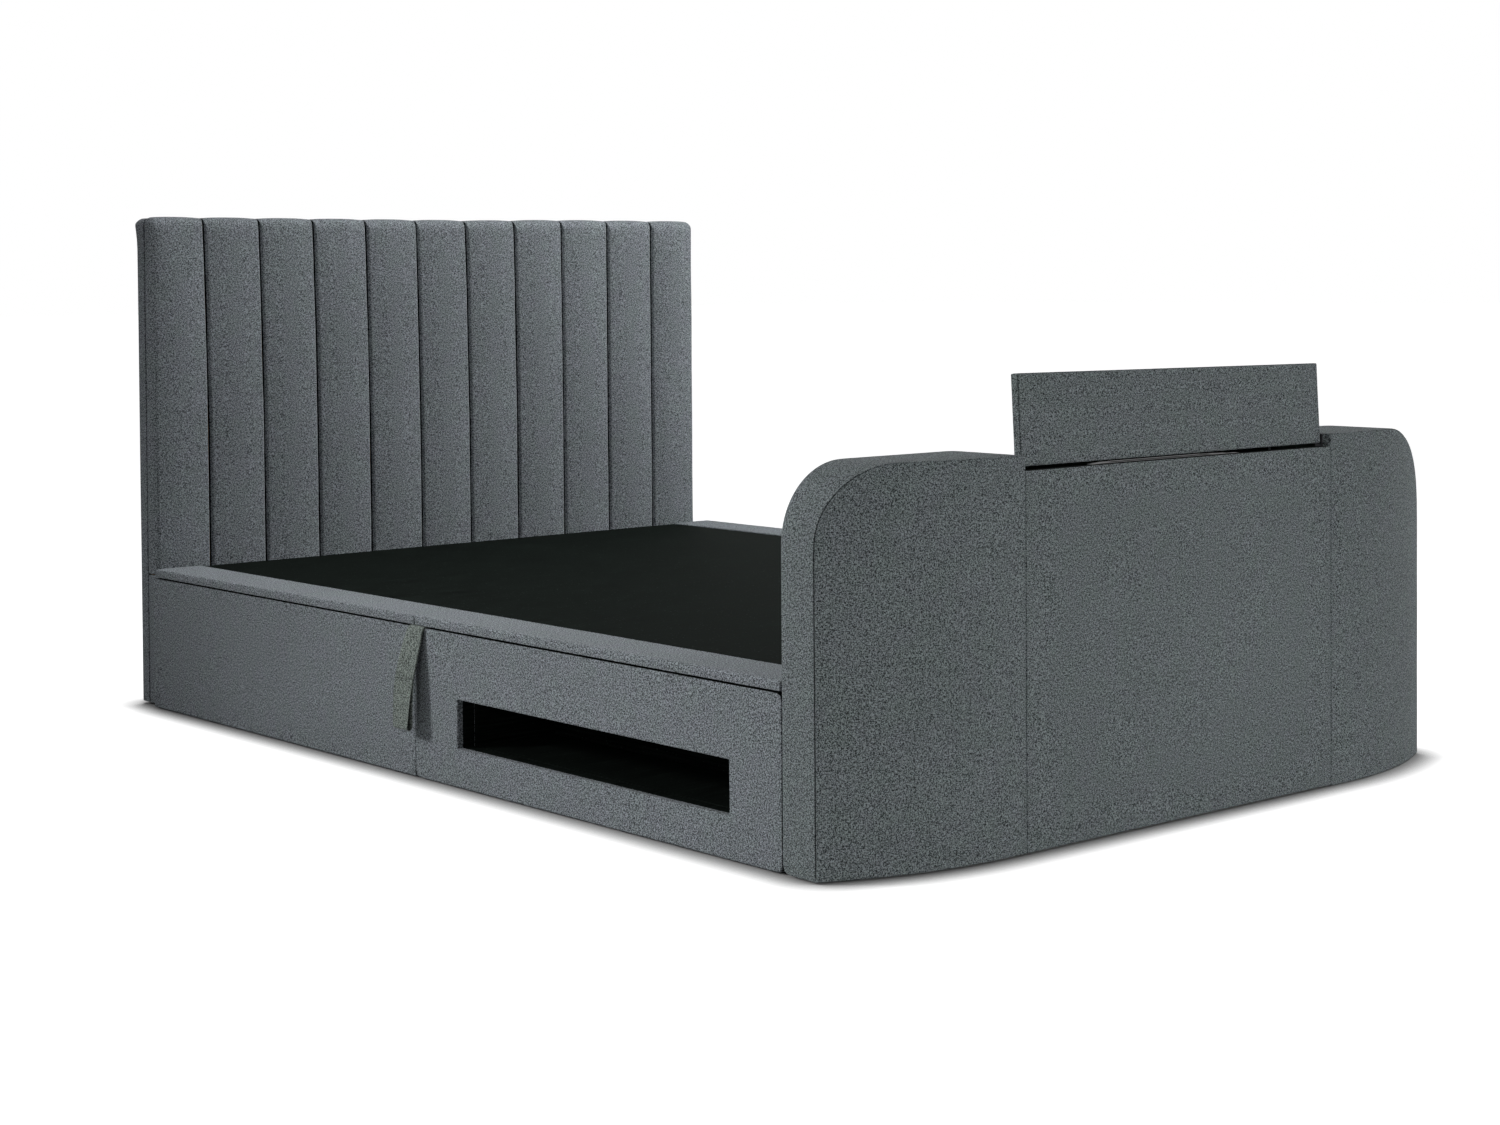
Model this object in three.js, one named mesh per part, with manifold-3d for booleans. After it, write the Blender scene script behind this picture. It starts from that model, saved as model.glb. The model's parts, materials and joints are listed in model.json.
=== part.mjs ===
// Upholstered king-size storage bed: a side-lifting mattress platform and a television lift in its footboard.
// Millimetres, +Z up, +X across the bed, +Y towards the headboard. The origin is the middle of the footprint.
import * as THREE from "three";
import { mergeVertices } from "three/addons/utils/BufferGeometryUtils.js";
import Module from "manifold-3d";

const wasm = await Module();
wasm.setup();

// Mattress and outline
const MATTRESS_WIDTH = 1500;
const MATTRESS_LENGTH = 2000;
const SIDE_ALLOWANCE = 20;
const LENGTH_ALLOWANCE = 40;
const GLIDE_HEIGHT = 6;
const CUT_OVERRUN = 5;
const PIECE_GAP = 0.3;

// Headboard
const HEADBOARD_HEIGHT = 1055;
const HEADBOARD_SIDE_INSET = 12;
const HEADBOARD_CORNER_RADIUS = 16;
const CHANNEL_COUNT = 11;
const CHANNEL_GAP = 0.8;
const CHANNEL_SEAM_THICKNESS = 6;
const CHANNEL_CROWN = 14;
const CHANNEL_TOP_FALL = 30;
const CHANNEL_COLUMNS = 8;
const CHANNEL_SWELL_POWER = 2.6;
const CHANNEL_ROW_SHARES = [0, 0.25, 0.5, 0.75, 1];
const CHANNEL_FALL_SHARES = [0.4, 0.75, 1];
const CHANNEL_TOP_SWELL_SHARES = [0.93, 0.7, 0.25];
const LOWER_PANEL_THICKNESS = 25;
const LOWER_PANEL_GAP = 2;
const HEADBOARD_CORE_THICKNESS = 41;
const HEADBOARD_BACK_THICKNESS = 4;
const HEADBOARD_BORDER = 10;

// Side rails and media shelf
const RAIL_THICKNESS = 40;
const RAIL_TOP = 279.5;
const RAIL_EDGE_RADIUS = 6;
const SLOT_HEIGHT = 88;
const SLOT_BOTTOM = 73;
const SLOT_FROM_FOOT = 127;
const SLOT_FROM_JOINT = 138;
const SHELF_DEPTH = 190;
const SHELF_WALL = 12;

// Storage base
const BASE_PANEL_THICKNESS = 12;
const BASE_BATTEN_WIDTH = 40;
const BASE_BATTEN_HEIGHT = 16;

// Frame hardware
const JOINT_PLATE_LENGTH = 200;
const JOINT_PLATE_HEIGHT = 150;
const JOINT_PLATE_THICKNESS = 3;
const JOINT_PLATE_BOTTOM = 90;
const CORNER_BRACKET_LEG = 50;
const CORNER_BRACKET_HEIGHT = 145;
const CORNER_BRACKET_BOTTOM = 100;
const CORNER_BRACKET_THICKNESS = 3;
const GLIDE_RADIUS = 20;
const GLIDE_FROM_SIDE = 120;

// Footboard
const FOOTBOARD_DEPTH = 160;
const FOOTBOARD_END_DEPTH = 76;
const SHOULDER_TOP = 630;
const SHOULDER_RADIUS = 125;
const CENTRE_TOP = 610;
const BAY_WIDTH = 790;
const WING_FLAT = 45;
const REAR_PANEL_THICKNESS = 20;
const CENTRE_PANEL_THICKNESS = 18;
const CENTRE_EDGE_RADIUS = 6;
const WING_WALL = 18;
const BAY_FLOOR_THICKNESS = 16;
const BAY_FLOOR_HEIGHT = 24;

// Television flap
const FLAP_SIDE_GAP = 13;
const FLAP_LENGTH = 145;
const FLAP_THICKNESS = 20;
const FLAP_SETBACK = 16;
const FLAP_LEAN_ANGLE = 3;
const FLAP_SEAT_GAP = 3;
const FLAP_EDGE_RADIUS = 5;
const FLAP_PIVOT_RADIUS = 4;
const FLAP_PIVOT_DEPTH = 18;
const FLAP_PLATE_HALF_WIDTH = 7;
const FLAP_PLATE_DROP = 24;
const FLAP_PLATE_RISE = 6;
const FLAP_PLATE_THICKNESS = 3;
const PIVOT_CLEARANCE = 0.3;

// Television lift
const LIFT_HALF_WIDTH = 194;
const LIFT_RAIL_TOP = 590;
const LIFT_PLATE_THICKNESS = 3;
const LIFT_RAIL_DEPTH = 38;
const LIFT_RAIL_WIDTH = 22;
const LIFT_RAIL_WALL = 3;
const LIFT_RUNNING_GAP = 0.5;
const LIFT_BAR_WIDTH = 19.5;
const LIFT_STAGE_HEIGHT = 270;
const LIFT_STAGE_TOP = 605;
const LIFT_STAGE_THICKNESS = 18;
const LIFT_CROSS_THICKNESS = 6.4;
const LIFT_NUT_THICKNESS = 16;
const LIFT_CROSS_HEIGHT = 28;
const LIFT_LOWER_CROSS_RISE = 65;
const LIFT_FLAP_CLEARANCE = 3;
const LIFT_SPINDLE_RADIUS = 5;
const LIFT_SPINDLE_TOP = 585;
const LIFT_NUT_CLEARANCE = 0.4;
const LIFT_MOTOR_WIDTH = 70;
const LIFT_MOTOR_HEIGHT = 60;
const LIFT_MOTOR_DEPTH = 30;
const SCREEN_PLATE_WIDTH = 240;
const SCREEN_PLATE_HEIGHT = 140;
const SCREEN_PLATE_THICKNESS = 4;
const SCREEN_HOLE_SPACING_X = 200;
const SCREEN_HOLE_SPACING_Z = 100;
const SCREEN_HOLE_RADIUS = 3;

// Mattress platform
const SEAM_GAP = 3.5;
const RIM_WIDTH = 112;
const RIM_THICKNESS = 17;
const RIM_EDGE_RADIUS = 7;
const BOARD_THICKNESS = 15;
const PLATFORM_FOOT_GAP = 4;
const PLATFORM_HEAD_GAP = 13;
const FRAME_TUBE_WIDTH = 40;
const FRAME_TUBE_HEIGHT = 26;
const FRAME_SIDE_GAP = 2;
const FRAME_END_INSET = 12;
const FRAME_CROSS_COUNT = 2;

// Platform hinge
const HINGE_INSET = 4;
const HINGE_KNUCKLE_RADIUS = 3.5;
const HINGE_PIN_RADIUS = 1.5;
const HINGE_PIN_CLEARANCE = 0.3;
const HINGE_LEAF_WIDTH = 30;
const HINGE_LEAF_THICKNESS = 1.4;
const HINGE_END_INSET = 20;
const HINGE_KNUCKLE_COUNT = 10;
const HINGE_KNUCKLE_GAP = 0.5;
const HINGE_BEVEL_WIDTH = 10;
const HINGE_BEVEL_HEIGHT = 6;

// Gas struts
const STRUT_BASE_CLEARANCE = 1;
const STRUT_LOWER_ANGLE = 15;
const STRUT_UPPER_ANGLE = 3;
const STRUT_TUBE_RADIUS = 11;
const STRUT_ROD_SHOWN = 66;
const STRUT_TUBE_START = 14;
const STRUT_END_WALL = 24;
const STRUT_ROD_RADIUS = 5;
const STRUT_ROD_CLEARANCE = 0.4;
const STRUT_TIP_CLEARANCE = 10;
const STRUT_EYE_RADIUS = 8;
const STRUT_EYE_WIDTH = 8;
const STRUT_STUD_RADIUS = 4;
const STRUT_STUD_OVERHANG = 3;
const STRUT_OFFSET = 16;
const STRUT_PLATE_THICKNESS = 3;
const STRUT_PLATE_HEIGHT = 48;
const STRUT_EAR_THICKNESS = 4;
const STRUT_EAR_GAP = 1;

// Pull strap
const STRAP_WIDTH = 48;
const STRAP_LAYER = 1.4;
const STRAP_HANG = 190;
const STRAP_STAND_OFF = 40;
const STRAP_TAIL = 40;
const STRAP_TOWARDS_FOOT = 5;
const STRAP_OPENING = 12;
const STRAP_LIP_SHARE = 0.25;
const STRAP_BACK_SHARE = 0.167;

// Worked-out places
const halfWidth = MATTRESS_WIDTH / 2 + SIDE_ALLOWANCE;
const innerLength = MATTRESS_LENGTH + LENGTH_ALLOWANCE;
const headboardDepth = LOWER_PANEL_THICKNESS + HEADBOARD_CORE_THICKNESS + HEADBOARD_BACK_THICKNESS;
const bedLength = innerLength + FOOTBOARD_DEPTH + headboardDepth;
const footInnerY = FOOTBOARD_DEPTH - bedLength / 2;
const headInnerY = footInnerY + innerLength;
const railInnerX = halfWidth - RAIL_THICKNESS;
const jointY = (footInnerY + headInnerY) / 2;
const channelThickness = CHANNEL_SEAM_THICKNESS + CHANNEL_CROWN;
const rimBottom = RAIL_TOP + SEAM_GAP;
const rimTop = rimBottom + RIM_THICKNESS;
const rimInnerX = halfWidth - RIM_WIDTH;
const platformFootY = footInnerY + PLATFORM_FOOT_GAP;
const platformHeadY = headInnerY - PLATFORM_HEAD_GAP;
const frameTop = rimBottom;
const frameBottom = frameTop - FRAME_TUBE_HEIGHT;
const frameOuterX = railInnerX - FRAME_SIDE_GAP;
const frameFootY = platformFootY + FRAME_END_INSET;
const frameHeadY = platformHeadY - FRAME_END_INSET;
const hingeX = halfWidth - HINGE_INSET;
const hingeZ = RAIL_TOP + SEAM_GAP / 2;
const slotFootY = footInnerY + SLOT_FROM_FOOT;
const slotHeadY = jointY - SLOT_FROM_JOINT;
const bayHalf = BAY_WIDTH / 2;
const flapHalf = bayHalf - FLAP_SIDE_GAP;
const flapLean = THREE.MathUtils.degToRad(FLAP_LEAN_ANGLE);
const baseTop = GLIDE_HEIGHT + BASE_BATTEN_HEIGHT + BASE_PANEL_THICKNESS;
const strutPinZ = baseTop + STRUT_BASE_CLEARANCE + STRUT_PLATE_HEIGHT / 2;
const strapLip = STRAP_STAND_OFF * STRAP_LIP_SHARE;

// Materials
const materials = {
  fabric: { color: 0x6f787d, roughness: 0.95, metalness: 0 },
  footFabric: { color: 0x666f70, roughness: 0.95, metalness: 0 },
  blackFabric: { color: 0x17181a, roughness: 0.9, metalness: 0 },
  webbing: { color: 0x808a88, roughness: 0.9, metalness: 0 },
  board: { color: 0xb79a72, roughness: 0.75, metalness: 0 },
  steel: { color: 0x2b2d30, roughness: 0.45, metalness: 0.6 },
  zinc: { color: 0xb4b7b9, roughness: 0.35, metalness: 0.9 },
  plastic: { color: 0x1c1c1d, roughness: 0.6, metalness: 0 },
};

const bed = new THREE.Group();

// One named mesh with its own material
function piece(group, name, geometry, finish) {
  const mesh = new THREE.Mesh(geometry, new THREE.MeshStandardMaterial(materials[finish]));
  mesh.name = name;
  group.add(mesh);
  return mesh;
}

function subAssembly(x, y, z) {
  const group = new THREE.Group();
  group.position.set(x, y, z);
  bed.add(group);
  return group;
}

function box(x0, x1, y0, y1, z0, z1) {
  const low = [Math.min(x0, x1), Math.min(y0, y1), Math.min(z0, z1)];
  const high = [Math.max(x0, x1), Math.max(y0, y1), Math.max(z0, z1)];
  const geometry = new THREE.BoxGeometry(high[0] - low[0], high[1] - low[1], high[2] - low[2]);
  return geometry.translate((low[0] + high[0]) / 2, (low[1] + high[1]) / 2, (low[2] + high[2]) / 2);
}

function extruded(points, depth) {
  const shape = new THREE.Shape(points.map(([a, b]) => new THREE.Vector2(a, b)));
  return new THREE.ExtrudeGeometry(shape, { depth, bevelEnabled: false, steps: 1 });
}

const axis = {
  x: new THREE.Vector3(1, 0, 0),
  y: new THREE.Vector3(0, 1, 0),
  z: new THREE.Vector3(0, 0, 1),
};

// An outline in (y, z) drawn along X
function prismX(points, x0, x1) {
  const turn = new THREE.Matrix4().makeBasis(axis.y, axis.z, axis.x);
  return extruded(points, x1 - x0).applyMatrix4(turn).translate(x0, 0, 0);
}

// An outline in (x, z) drawn along Y
function prismY(points, y0, y1) {
  const turn = new THREE.Matrix4().makeBasis(axis.x, axis.z, axis.y.clone().negate());
  return extruded(points, y1 - y0).applyMatrix4(turn).translate(0, y1, 0);
}

// An outline in (x, y) drawn along Z
function prismZ(points, z0, z1) {
  return extruded(points, z1 - z0).translate(0, 0, z0);
}

// A round bar along Y, X or Z from one place to another on that axis
function bar(along, radius, from, to, segments = 20) {
  const geometry = new THREE.CylinderGeometry(radius, radius, to - from, segments);
  geometry.translate(0, (from + to) / 2, 0);
  if (along === "x") geometry.rotateZ(-Math.PI / 2);
  if (along === "z") geometry.rotateX(Math.PI / 2);
  return geometry;
}

// Points of a round corner about a centre, between two angles in degrees
function corner(centreA, centreB, radius, fromDegrees, toDegrees, steps = 4) {
  const points = [];
  for (let i = 0; i <= steps; i += 1) {
    const angle = THREE.MathUtils.degToRad(fromDegrees + ((toDegrees - fromDegrees) * i) / steps);
    points.push([centreA + radius * Math.cos(angle), centreB + radius * Math.sin(angle)]);
  }
  return points;
}

function toSolid(geometry) {
  const plain = geometry.clone();
  plain.deleteAttribute("normal");
  plain.deleteAttribute("uv");
  const merged = mergeVertices(plain, 1e-4);
  return new wasm.Manifold(
    new wasm.Mesh({
      numProp: 3,
      vertProperties: merged.attributes.position.array,
      triVerts: new Uint32Array(merged.index.array),
    }),
  );
}

function toGeometry(solid) {
  const mesh = solid.getMesh();
  const geometry = new THREE.BufferGeometry();
  geometry.setAttribute("position", new THREE.BufferAttribute(mesh.vertProperties, mesh.numProp));
  geometry.setIndex(new THREE.BufferAttribute(mesh.triVerts, 1));
  return geometry;
}

function joined(...geometries) {
  return toGeometry(geometries.map(toSolid).reduce((whole, next) => whole.add(next)));
}

function cut(geometry, ...tools) {
  return toGeometry(tools.map(toSolid).reduce((whole, tool) => whole.subtract(tool), toSolid(geometry)));
}

function common(first, second) {
  return toGeometry(toSolid(first).intersect(toSolid(second)));
}

// A crowned upholstered channel: flat at the back, swelling to the front between its two seams,
// and falling back at its top edge. Its front grid has columns across and rows up.
function channelGeometry(width, height) {
  const columns = CHANNEL_COLUMNS;
  const fallStart = height - CHANNEL_TOP_FALL;
  const rows = [
    ...CHANNEL_ROW_SHARES.map((share) => share * fallStart),
    ...CHANNEL_FALL_SHARES.map((share) => fallStart + share * CHANNEL_TOP_FALL),
  ];
  const swellShares = [...CHANNEL_ROW_SHARES.map(() => 1), ...CHANNEL_TOP_SWELL_SHARES];
  const positions = [];
  const across = columns + 1;
  for (let side = 0; side < 2; side += 1) {
    rows.forEach((z, row) => {
      for (let column = 0; column < across; column += 1) {
        const u = (2 * column) / columns - 1;
        const swell = (1 - Math.abs(u) ** CHANNEL_SWELL_POWER) * swellShares[row];
        const front = -CHANNEL_SEAM_THICKNESS - CHANNEL_CROWN * swell;
        positions.push((u * width) / 2, side === 0 ? front : 0, z);
      }
    });
  }
  const index = [];
  const back = rows.length * across;
  const quad = (a, b, c, d) => index.push(a, b, c, a, c, d);
  for (let row = 0; row < rows.length - 1; row += 1) {
    for (let column = 0; column < columns; column += 1) {
      const a = row * across + column;
      quad(a, a + 1, a + 1 + across, a + across);
      quad(back + a, back + a + across, back + a + 1 + across, back + a + 1);
    }
    const left = row * across;
    const right = left + columns;
    quad(left, left + across, back + left + across, back + left);
    quad(right, back + right, back + right + across, right + across);
  }
  const topRow = (rows.length - 1) * across;
  for (let column = 0; column < columns; column += 1) {
    quad(column, back + column, back + column + 1, column + 1);
    const a = topRow + column;
    quad(a, a + 1, back + a + 1, back + a);
  }
  const geometry = new THREE.BufferGeometry();
  geometry.setAttribute("position", new THREE.BufferAttribute(new Float32Array(positions), 3));
  geometry.setIndex(index);
  return geometry;
}

// An upright board outline in (x, z) with two rounded top corners
function boardOutline(halfSpan, bottom, top, radius) {
  return [
    [-halfSpan, bottom],
    [halfSpan, bottom],
    ...corner(halfSpan - radius, top - radius, radius, 0, 90, 6),
    ...corner(-halfSpan + radius, top - radius, radius, 90, 180, 6),
  ];
}

function buildHeadboard() {
  const group = subAssembly(0, headInnerY, 0);
  const half = halfWidth - HEADBOARD_SIDE_INSET;
  const radius = HEADBOARD_CORNER_RADIUS;
  const coreBack = LOWER_PANEL_THICKNESS + HEADBOARD_CORE_THICKNESS;
  const backFace = coreBack + HEADBOARD_BACK_THICKNESS;
  const outline = boardOutline(half, GLIDE_HEIGHT, HEADBOARD_HEIGHT, radius);
  const inset = HEADBOARD_BORDER;
  const pocket = boardOutline(half - inset, GLIDE_HEIGHT + inset, HEADBOARD_HEIGHT - inset, radius - inset);
  const shell = cut(
    prismY(outline, LOWER_PANEL_THICKNESS, backFace),
    prismY(pocket, LOWER_PANEL_THICKNESS - CUT_OVERRUN, coreBack),
  );
  piece(group, "headboard_back_shell", shell, "fabric");
  const core = inset + PIECE_GAP;
  const coreOutline = boardOutline(
    half - core,
    GLIDE_HEIGHT + core,
    HEADBOARD_HEIGHT - core,
    radius - inset,
  );
  piece(
    group,
    "headboard_core_board",
    prismY(coreOutline, LOWER_PANEL_THICKNESS, coreBack - PIECE_GAP),
    "board",
  );
  const lowerPanel = box(-half, half, 0, LOWER_PANEL_THICKNESS, GLIDE_HEIGHT, rimBottom);
  piece(group, "headboard_lower_panel", lowerPanel, "fabric");
  const bottom = rimBottom + LOWER_PANEL_GAP;
  const pitch = (2 * half) / CHANNEL_COUNT;
  const front = LOWER_PANEL_THICKNESS - channelThickness - CUT_OVERRUN;
  for (let i = 0; i < CHANNEL_COUNT; i += 1) {
    const centre = -half + pitch * (i + 0.5);
    let geometry = channelGeometry(pitch - CHANNEL_GAP, HEADBOARD_HEIGHT - bottom);
    if (i === 0 || i === CHANNEL_COUNT - 1) {
      const limit = prismY(outline, front, LOWER_PANEL_THICKNESS).translate(
        -centre,
        -LOWER_PANEL_THICKNESS,
        -bottom,
      );
      geometry = common(geometry, limit);
    }
    const name = "headboard_channel_" + String(i + 1).padStart(2, "0");
    piece(group, name, geometry, "fabric").position.set(centre, LOWER_PANEL_THICKNESS, bottom);
  }
}

// A rail's cross-section in (x, z): rounded at its outer edges, and bevelled for the hinge on the far side
function railSection(side) {
  const r = RAIL_EDGE_RADIUS;
  const top =
    side > 0
      ? [
          [halfWidth, RAIL_TOP - HINGE_BEVEL_HEIGHT],
          [halfWidth - HINGE_BEVEL_WIDTH, RAIL_TOP],
        ]
      : corner(halfWidth - r, RAIL_TOP - r, r, 0, 90);
  const points = [
    [railInnerX, GLIDE_HEIGHT],
    ...corner(halfWidth - r, GLIDE_HEIGHT + r, r, -90, 0),
    ...top,
    [railInnerX, RAIL_TOP],
  ];
  return points.map(([x, z]) => [side * x, z]);
}

function buildRails() {
  const group = subAssembly(0, 0, 0);
  const halves = [
    ["foot", footInnerY, jointY],
    ["head", jointY, headInnerY],
  ];
  for (const [sideName, side] of [
    ["left", -1],
    ["right", 1],
  ]) {
    for (const [halfName, from, to] of halves) {
      let geometry = prismY(railSection(side), from, to);
      if (side < 0 && halfName === "foot") {
        const slotTop = SLOT_BOTTOM + SLOT_HEIGHT;
        const outside = -halfWidth - CUT_OVERRUN;
        const inside = -railInnerX + CUT_OVERRUN;
        geometry = cut(geometry, box(outside, inside, slotFootY, slotHeadY, SLOT_BOTTOM, slotTop));
      }
      piece(group, "side_rail_" + sideName + "_" + halfName, geometry, "fabric");
    }
    const face = side * railInnerX;
    const plate = box(
      face,
      face - side * JOINT_PLATE_THICKNESS,
      jointY - JOINT_PLATE_LENGTH / 2,
      jointY + JOINT_PLATE_LENGTH / 2,
      JOINT_PLATE_BOTTOM,
      JOINT_PLATE_BOTTOM + JOINT_PLATE_HEIGHT,
    );
    piece(group, "rail_joint_plate_" + sideName, plate, "zinc");
    for (const [endName, endY, inward] of [
      ["foot", footInnerY, 1],
      ["head", headInnerY, -1],
    ]) {
      const bracket = prismZ(
        cornerBracketOutline(face, endY, -side, inward),
        CORNER_BRACKET_BOTTOM,
        CORNER_BRACKET_BOTTOM + CORNER_BRACKET_HEIGHT,
      );
      piece(group, "corner_bracket_" + sideName + "_" + endName, bracket, "zinc");
    }
  }
}

// An angle bracket's outline in (x, y), its two legs running from the corner in the given directions
function cornerBracketOutline(x, y, alongX, alongY) {
  const leg = CORNER_BRACKET_LEG;
  const t = CORNER_BRACKET_THICKNESS;
  return [
    [0, 0],
    [leg, 0],
    [leg, t],
    [t, t],
    [t, leg],
    [0, leg],
  ].map(([a, b]) => [x + alongX * a, y + alongY * b]);
}

function buildMediaShelf() {
  const group = subAssembly(0, 0, 0);
  const w = SHELF_WALL;
  const slotTop = SLOT_BOTTOM + SLOT_HEIGHT;
  const front = -railInnerX;
  const back = front + SHELF_DEPTH;
  const outer = box(front, back, slotFootY - w, slotHeadY + w, SLOT_BOTTOM - w, slotTop + w);
  const inner = box(front - CUT_OVERRUN, back - w, slotFootY, slotHeadY, SLOT_BOTTOM, slotTop);
  piece(group, "media_shelf", cut(outer, inner), "blackFabric");
}

// The storage floor: one panel with three battens glued under it
function buildStorageBase() {
  const group = subAssembly(0, 0, GLIDE_HEIGHT);
  const half = railInnerX - PIECE_GAP;
  const foot = footInnerY + PIECE_GAP;
  const head = headInnerY - PIECE_GAP;
  const top = BASE_BATTEN_HEIGHT + BASE_PANEL_THICKNESS;
  const battens = [-half + BASE_BATTEN_WIDTH / 2, 0, half - BASE_BATTEN_WIDTH / 2].map((x) =>
    box(x - BASE_BATTEN_WIDTH / 2, x + BASE_BATTEN_WIDTH / 2, foot, head, 0, BASE_BATTEN_HEIGHT),
  );
  const panel = box(-half, half, foot, head, BASE_BATTEN_HEIGHT, top);
  piece(group, "storage_base", joined(panel, ...battens), "blackFabric");
}

function buildGlides() {
  const group = subAssembly(0, 0, 0);
  const x = halfWidth - GLIDE_FROM_SIDE;
  const footY = footInnerY - (REAR_PANEL_THICKNESS + FOOTBOARD_END_DEPTH) / 2;
  const headY = headInnerY + headboardDepth / 2;
  const places = {
    foot_left: [-x, footY],
    foot_right: [x, footY],
    head_left: [-x, headY],
    head_right: [x, headY],
    centre: [0, 0],
  };
  for (const [name, [px, py]] of Object.entries(places)) {
    const glide = piece(group, "glide_" + name, bar("z", GLIDE_RADIUS, 0, GLIDE_HEIGHT), "plastic");
    glide.position.set(px, py, 0);
  }
}

// The wing's front curve in plan: flat beside the bay, then an arc that falls back to the end depth.
// With an inset it is the same curve moved into the wing by a wall.
function wingPlan(side, inset, rear) {
  const arcStart = bayHalf + WING_FLAT;
  const run = halfWidth - arcStart;
  const fall = FOOTBOARD_DEPTH - FOOTBOARD_END_DEPTH;
  const radius = (run * run + fall * fall) / (2 * fall);
  const centreY = radius - FOOTBOARD_DEPTH;
  const inner = bayHalf + inset;
  const outer = halfWidth - inset;
  const points = [
    [inner, rear],
    [inner, inset - FOOTBOARD_DEPTH],
  ];
  const steps = 12;
  for (let i = 0; i <= steps; i += 1) {
    const x = arcStart + ((outer - arcStart) * i) / steps;
    points.push([x, centreY - Math.sqrt((radius - inset) ** 2 - (x - arcStart) ** 2)]);
  }
  points.push([outer, rear]);
  return points.map(([x, y]) => [side * x, y]);
}

// The wing's outline in (x, z), with its big round shoulder
function wingElevation(side, inset) {
  const radius = SHOULDER_RADIUS - inset;
  const outer = halfWidth - inset;
  const top = SHOULDER_TOP - inset;
  const points = [
    [bayHalf + inset, GLIDE_HEIGHT + inset],
    [outer, GLIDE_HEIGHT + inset],
    ...corner(outer - radius, top - radius, radius, 0, 90, 12),
    [bayHalf + inset, top],
  ];
  return points.map(([x, z]) => [side * x, z]);
}

function wingGeometry(side) {
  const rear = -REAR_PANEL_THICKNESS;
  const front = -FOOTBOARD_DEPTH - CUT_OVERRUN;
  const outer = common(
    prismZ(wingPlan(side, 0, rear), GLIDE_HEIGHT - CUT_OVERRUN, SHOULDER_TOP + CUT_OVERRUN),
    prismY(wingElevation(side, 0), front, rear),
  );
  const open = rear + CUT_OVERRUN;
  const cavity = common(
    prismZ(wingPlan(side, WING_WALL, open), GLIDE_HEIGHT, SHOULDER_TOP),
    prismY(wingElevation(side, WING_WALL), front, open),
  );
  return cut(outer, cavity);
}

function buildFootboard() {
  const group = subAssembly(0, footInnerY, 0);
  const rear = -REAR_PANEL_THICKNESS;
  const rightSide = wingElevation(1, 0).slice(1);
  const leftSide = wingElevation(-1, 0).slice(1).reverse();
  const rearOutline = [...rightSide, [bayHalf, CENTRE_TOP], [-bayHalf, CENTRE_TOP], ...leftSide];
  piece(group, "footboard_rear_panel", prismY(rearOutline, rear, 0), "footFabric");
  piece(group, "footboard_wing_left", wingGeometry(-1), "footFabric");
  piece(group, "footboard_wing_right", wingGeometry(1), "footFabric");
  const front = -FOOTBOARD_DEPTH;
  const inner = front + CENTRE_PANEL_THICKNESS;
  const r = CENTRE_EDGE_RADIUS;
  const centreSection = [
    [front, GLIDE_HEIGHT],
    [inner, GLIDE_HEIGHT],
    [inner, CENTRE_TOP],
    ...corner(front + r, CENTRE_TOP - r, r, 90, 180),
  ];
  piece(group, "footboard_centre_panel", prismX(centreSection, -bayHalf, bayHalf), "footFabric");
  const floorTop = BAY_FLOOR_HEIGHT + BAY_FLOOR_THICKNESS;
  const half = bayHalf - PIECE_GAP;
  piece(group, "tv_bay_floor", box(-half, half, inner, rear, BAY_FLOOR_HEIGHT, floorTop), "board");
}

// The flap turns on two end pins at half its thickness, so that its closed top is flush with the shoulders.
// Open, it leans back a little against its stops.
function flapAxis() {
  return {
    y: footInnerY - FOOTBOARD_DEPTH + FLAP_SETBACK + FLAP_THICKNESS / 2,
    z: CENTRE_TOP + FLAP_SEAT_GAP + FLAP_THICKNESS / 2,
  };
}

function buildFlap() {
  const pivot = flapAxis();
  const group = subAssembly(0, pivot.y, pivot.z);
  const half = FLAP_THICKNESS / 2;
  const r = FLAP_EDGE_RADIUS;
  const top = FLAP_LENGTH - half;
  const section = [
    ...corner(half - r, r - half, r, -90, 0),
    ...corner(half - r, top - r, r, 0, 90),
    ...corner(r - half, top - r, r, 90, 180),
    ...corner(r - half, r - half, r, 180, 270),
  ];
  const end = flapHalf;
  const depth = FLAP_PIVOT_DEPTH + PIVOT_CLEARANCE;
  const boreRadius = FLAP_PIVOT_RADIUS + PIVOT_CLEARANCE;
  const flap = cut(
    prismX(section, -end, end),
    bar("x", boreRadius, end - depth, end + CUT_OVERRUN),
    bar("x", boreRadius, -end - CUT_OVERRUN, depth - end),
  );
  piece(group, "tv_flap", flap.rotateX(-flapLean), "fabric");
  for (const [name, side] of [
    ["left", -1],
    ["right", 1],
  ]) {
    const plateInner = bayHalf - FLAP_PLATE_THICKNESS;
    const plate = box(
      side * plateInner,
      side * bayHalf,
      -FLAP_PLATE_HALF_WIDTH,
      FLAP_PLATE_HALF_WIDTH,
      -FLAP_PLATE_DROP,
      FLAP_PLATE_RISE,
    );
    const pinEnd = end - FLAP_PIVOT_DEPTH;
    const inside = plateInner + FLAP_PLATE_THICKNESS / 2;
    const pin =
      side > 0 ? bar("x", FLAP_PIVOT_RADIUS, pinEnd, inside) : bar("x", FLAP_PIVOT_RADIUS, -inside, -pinEnd);
    piece(group, "tv_flap_pivot_" + name, joined(plate, pin), "steel");
  }
}

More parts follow.
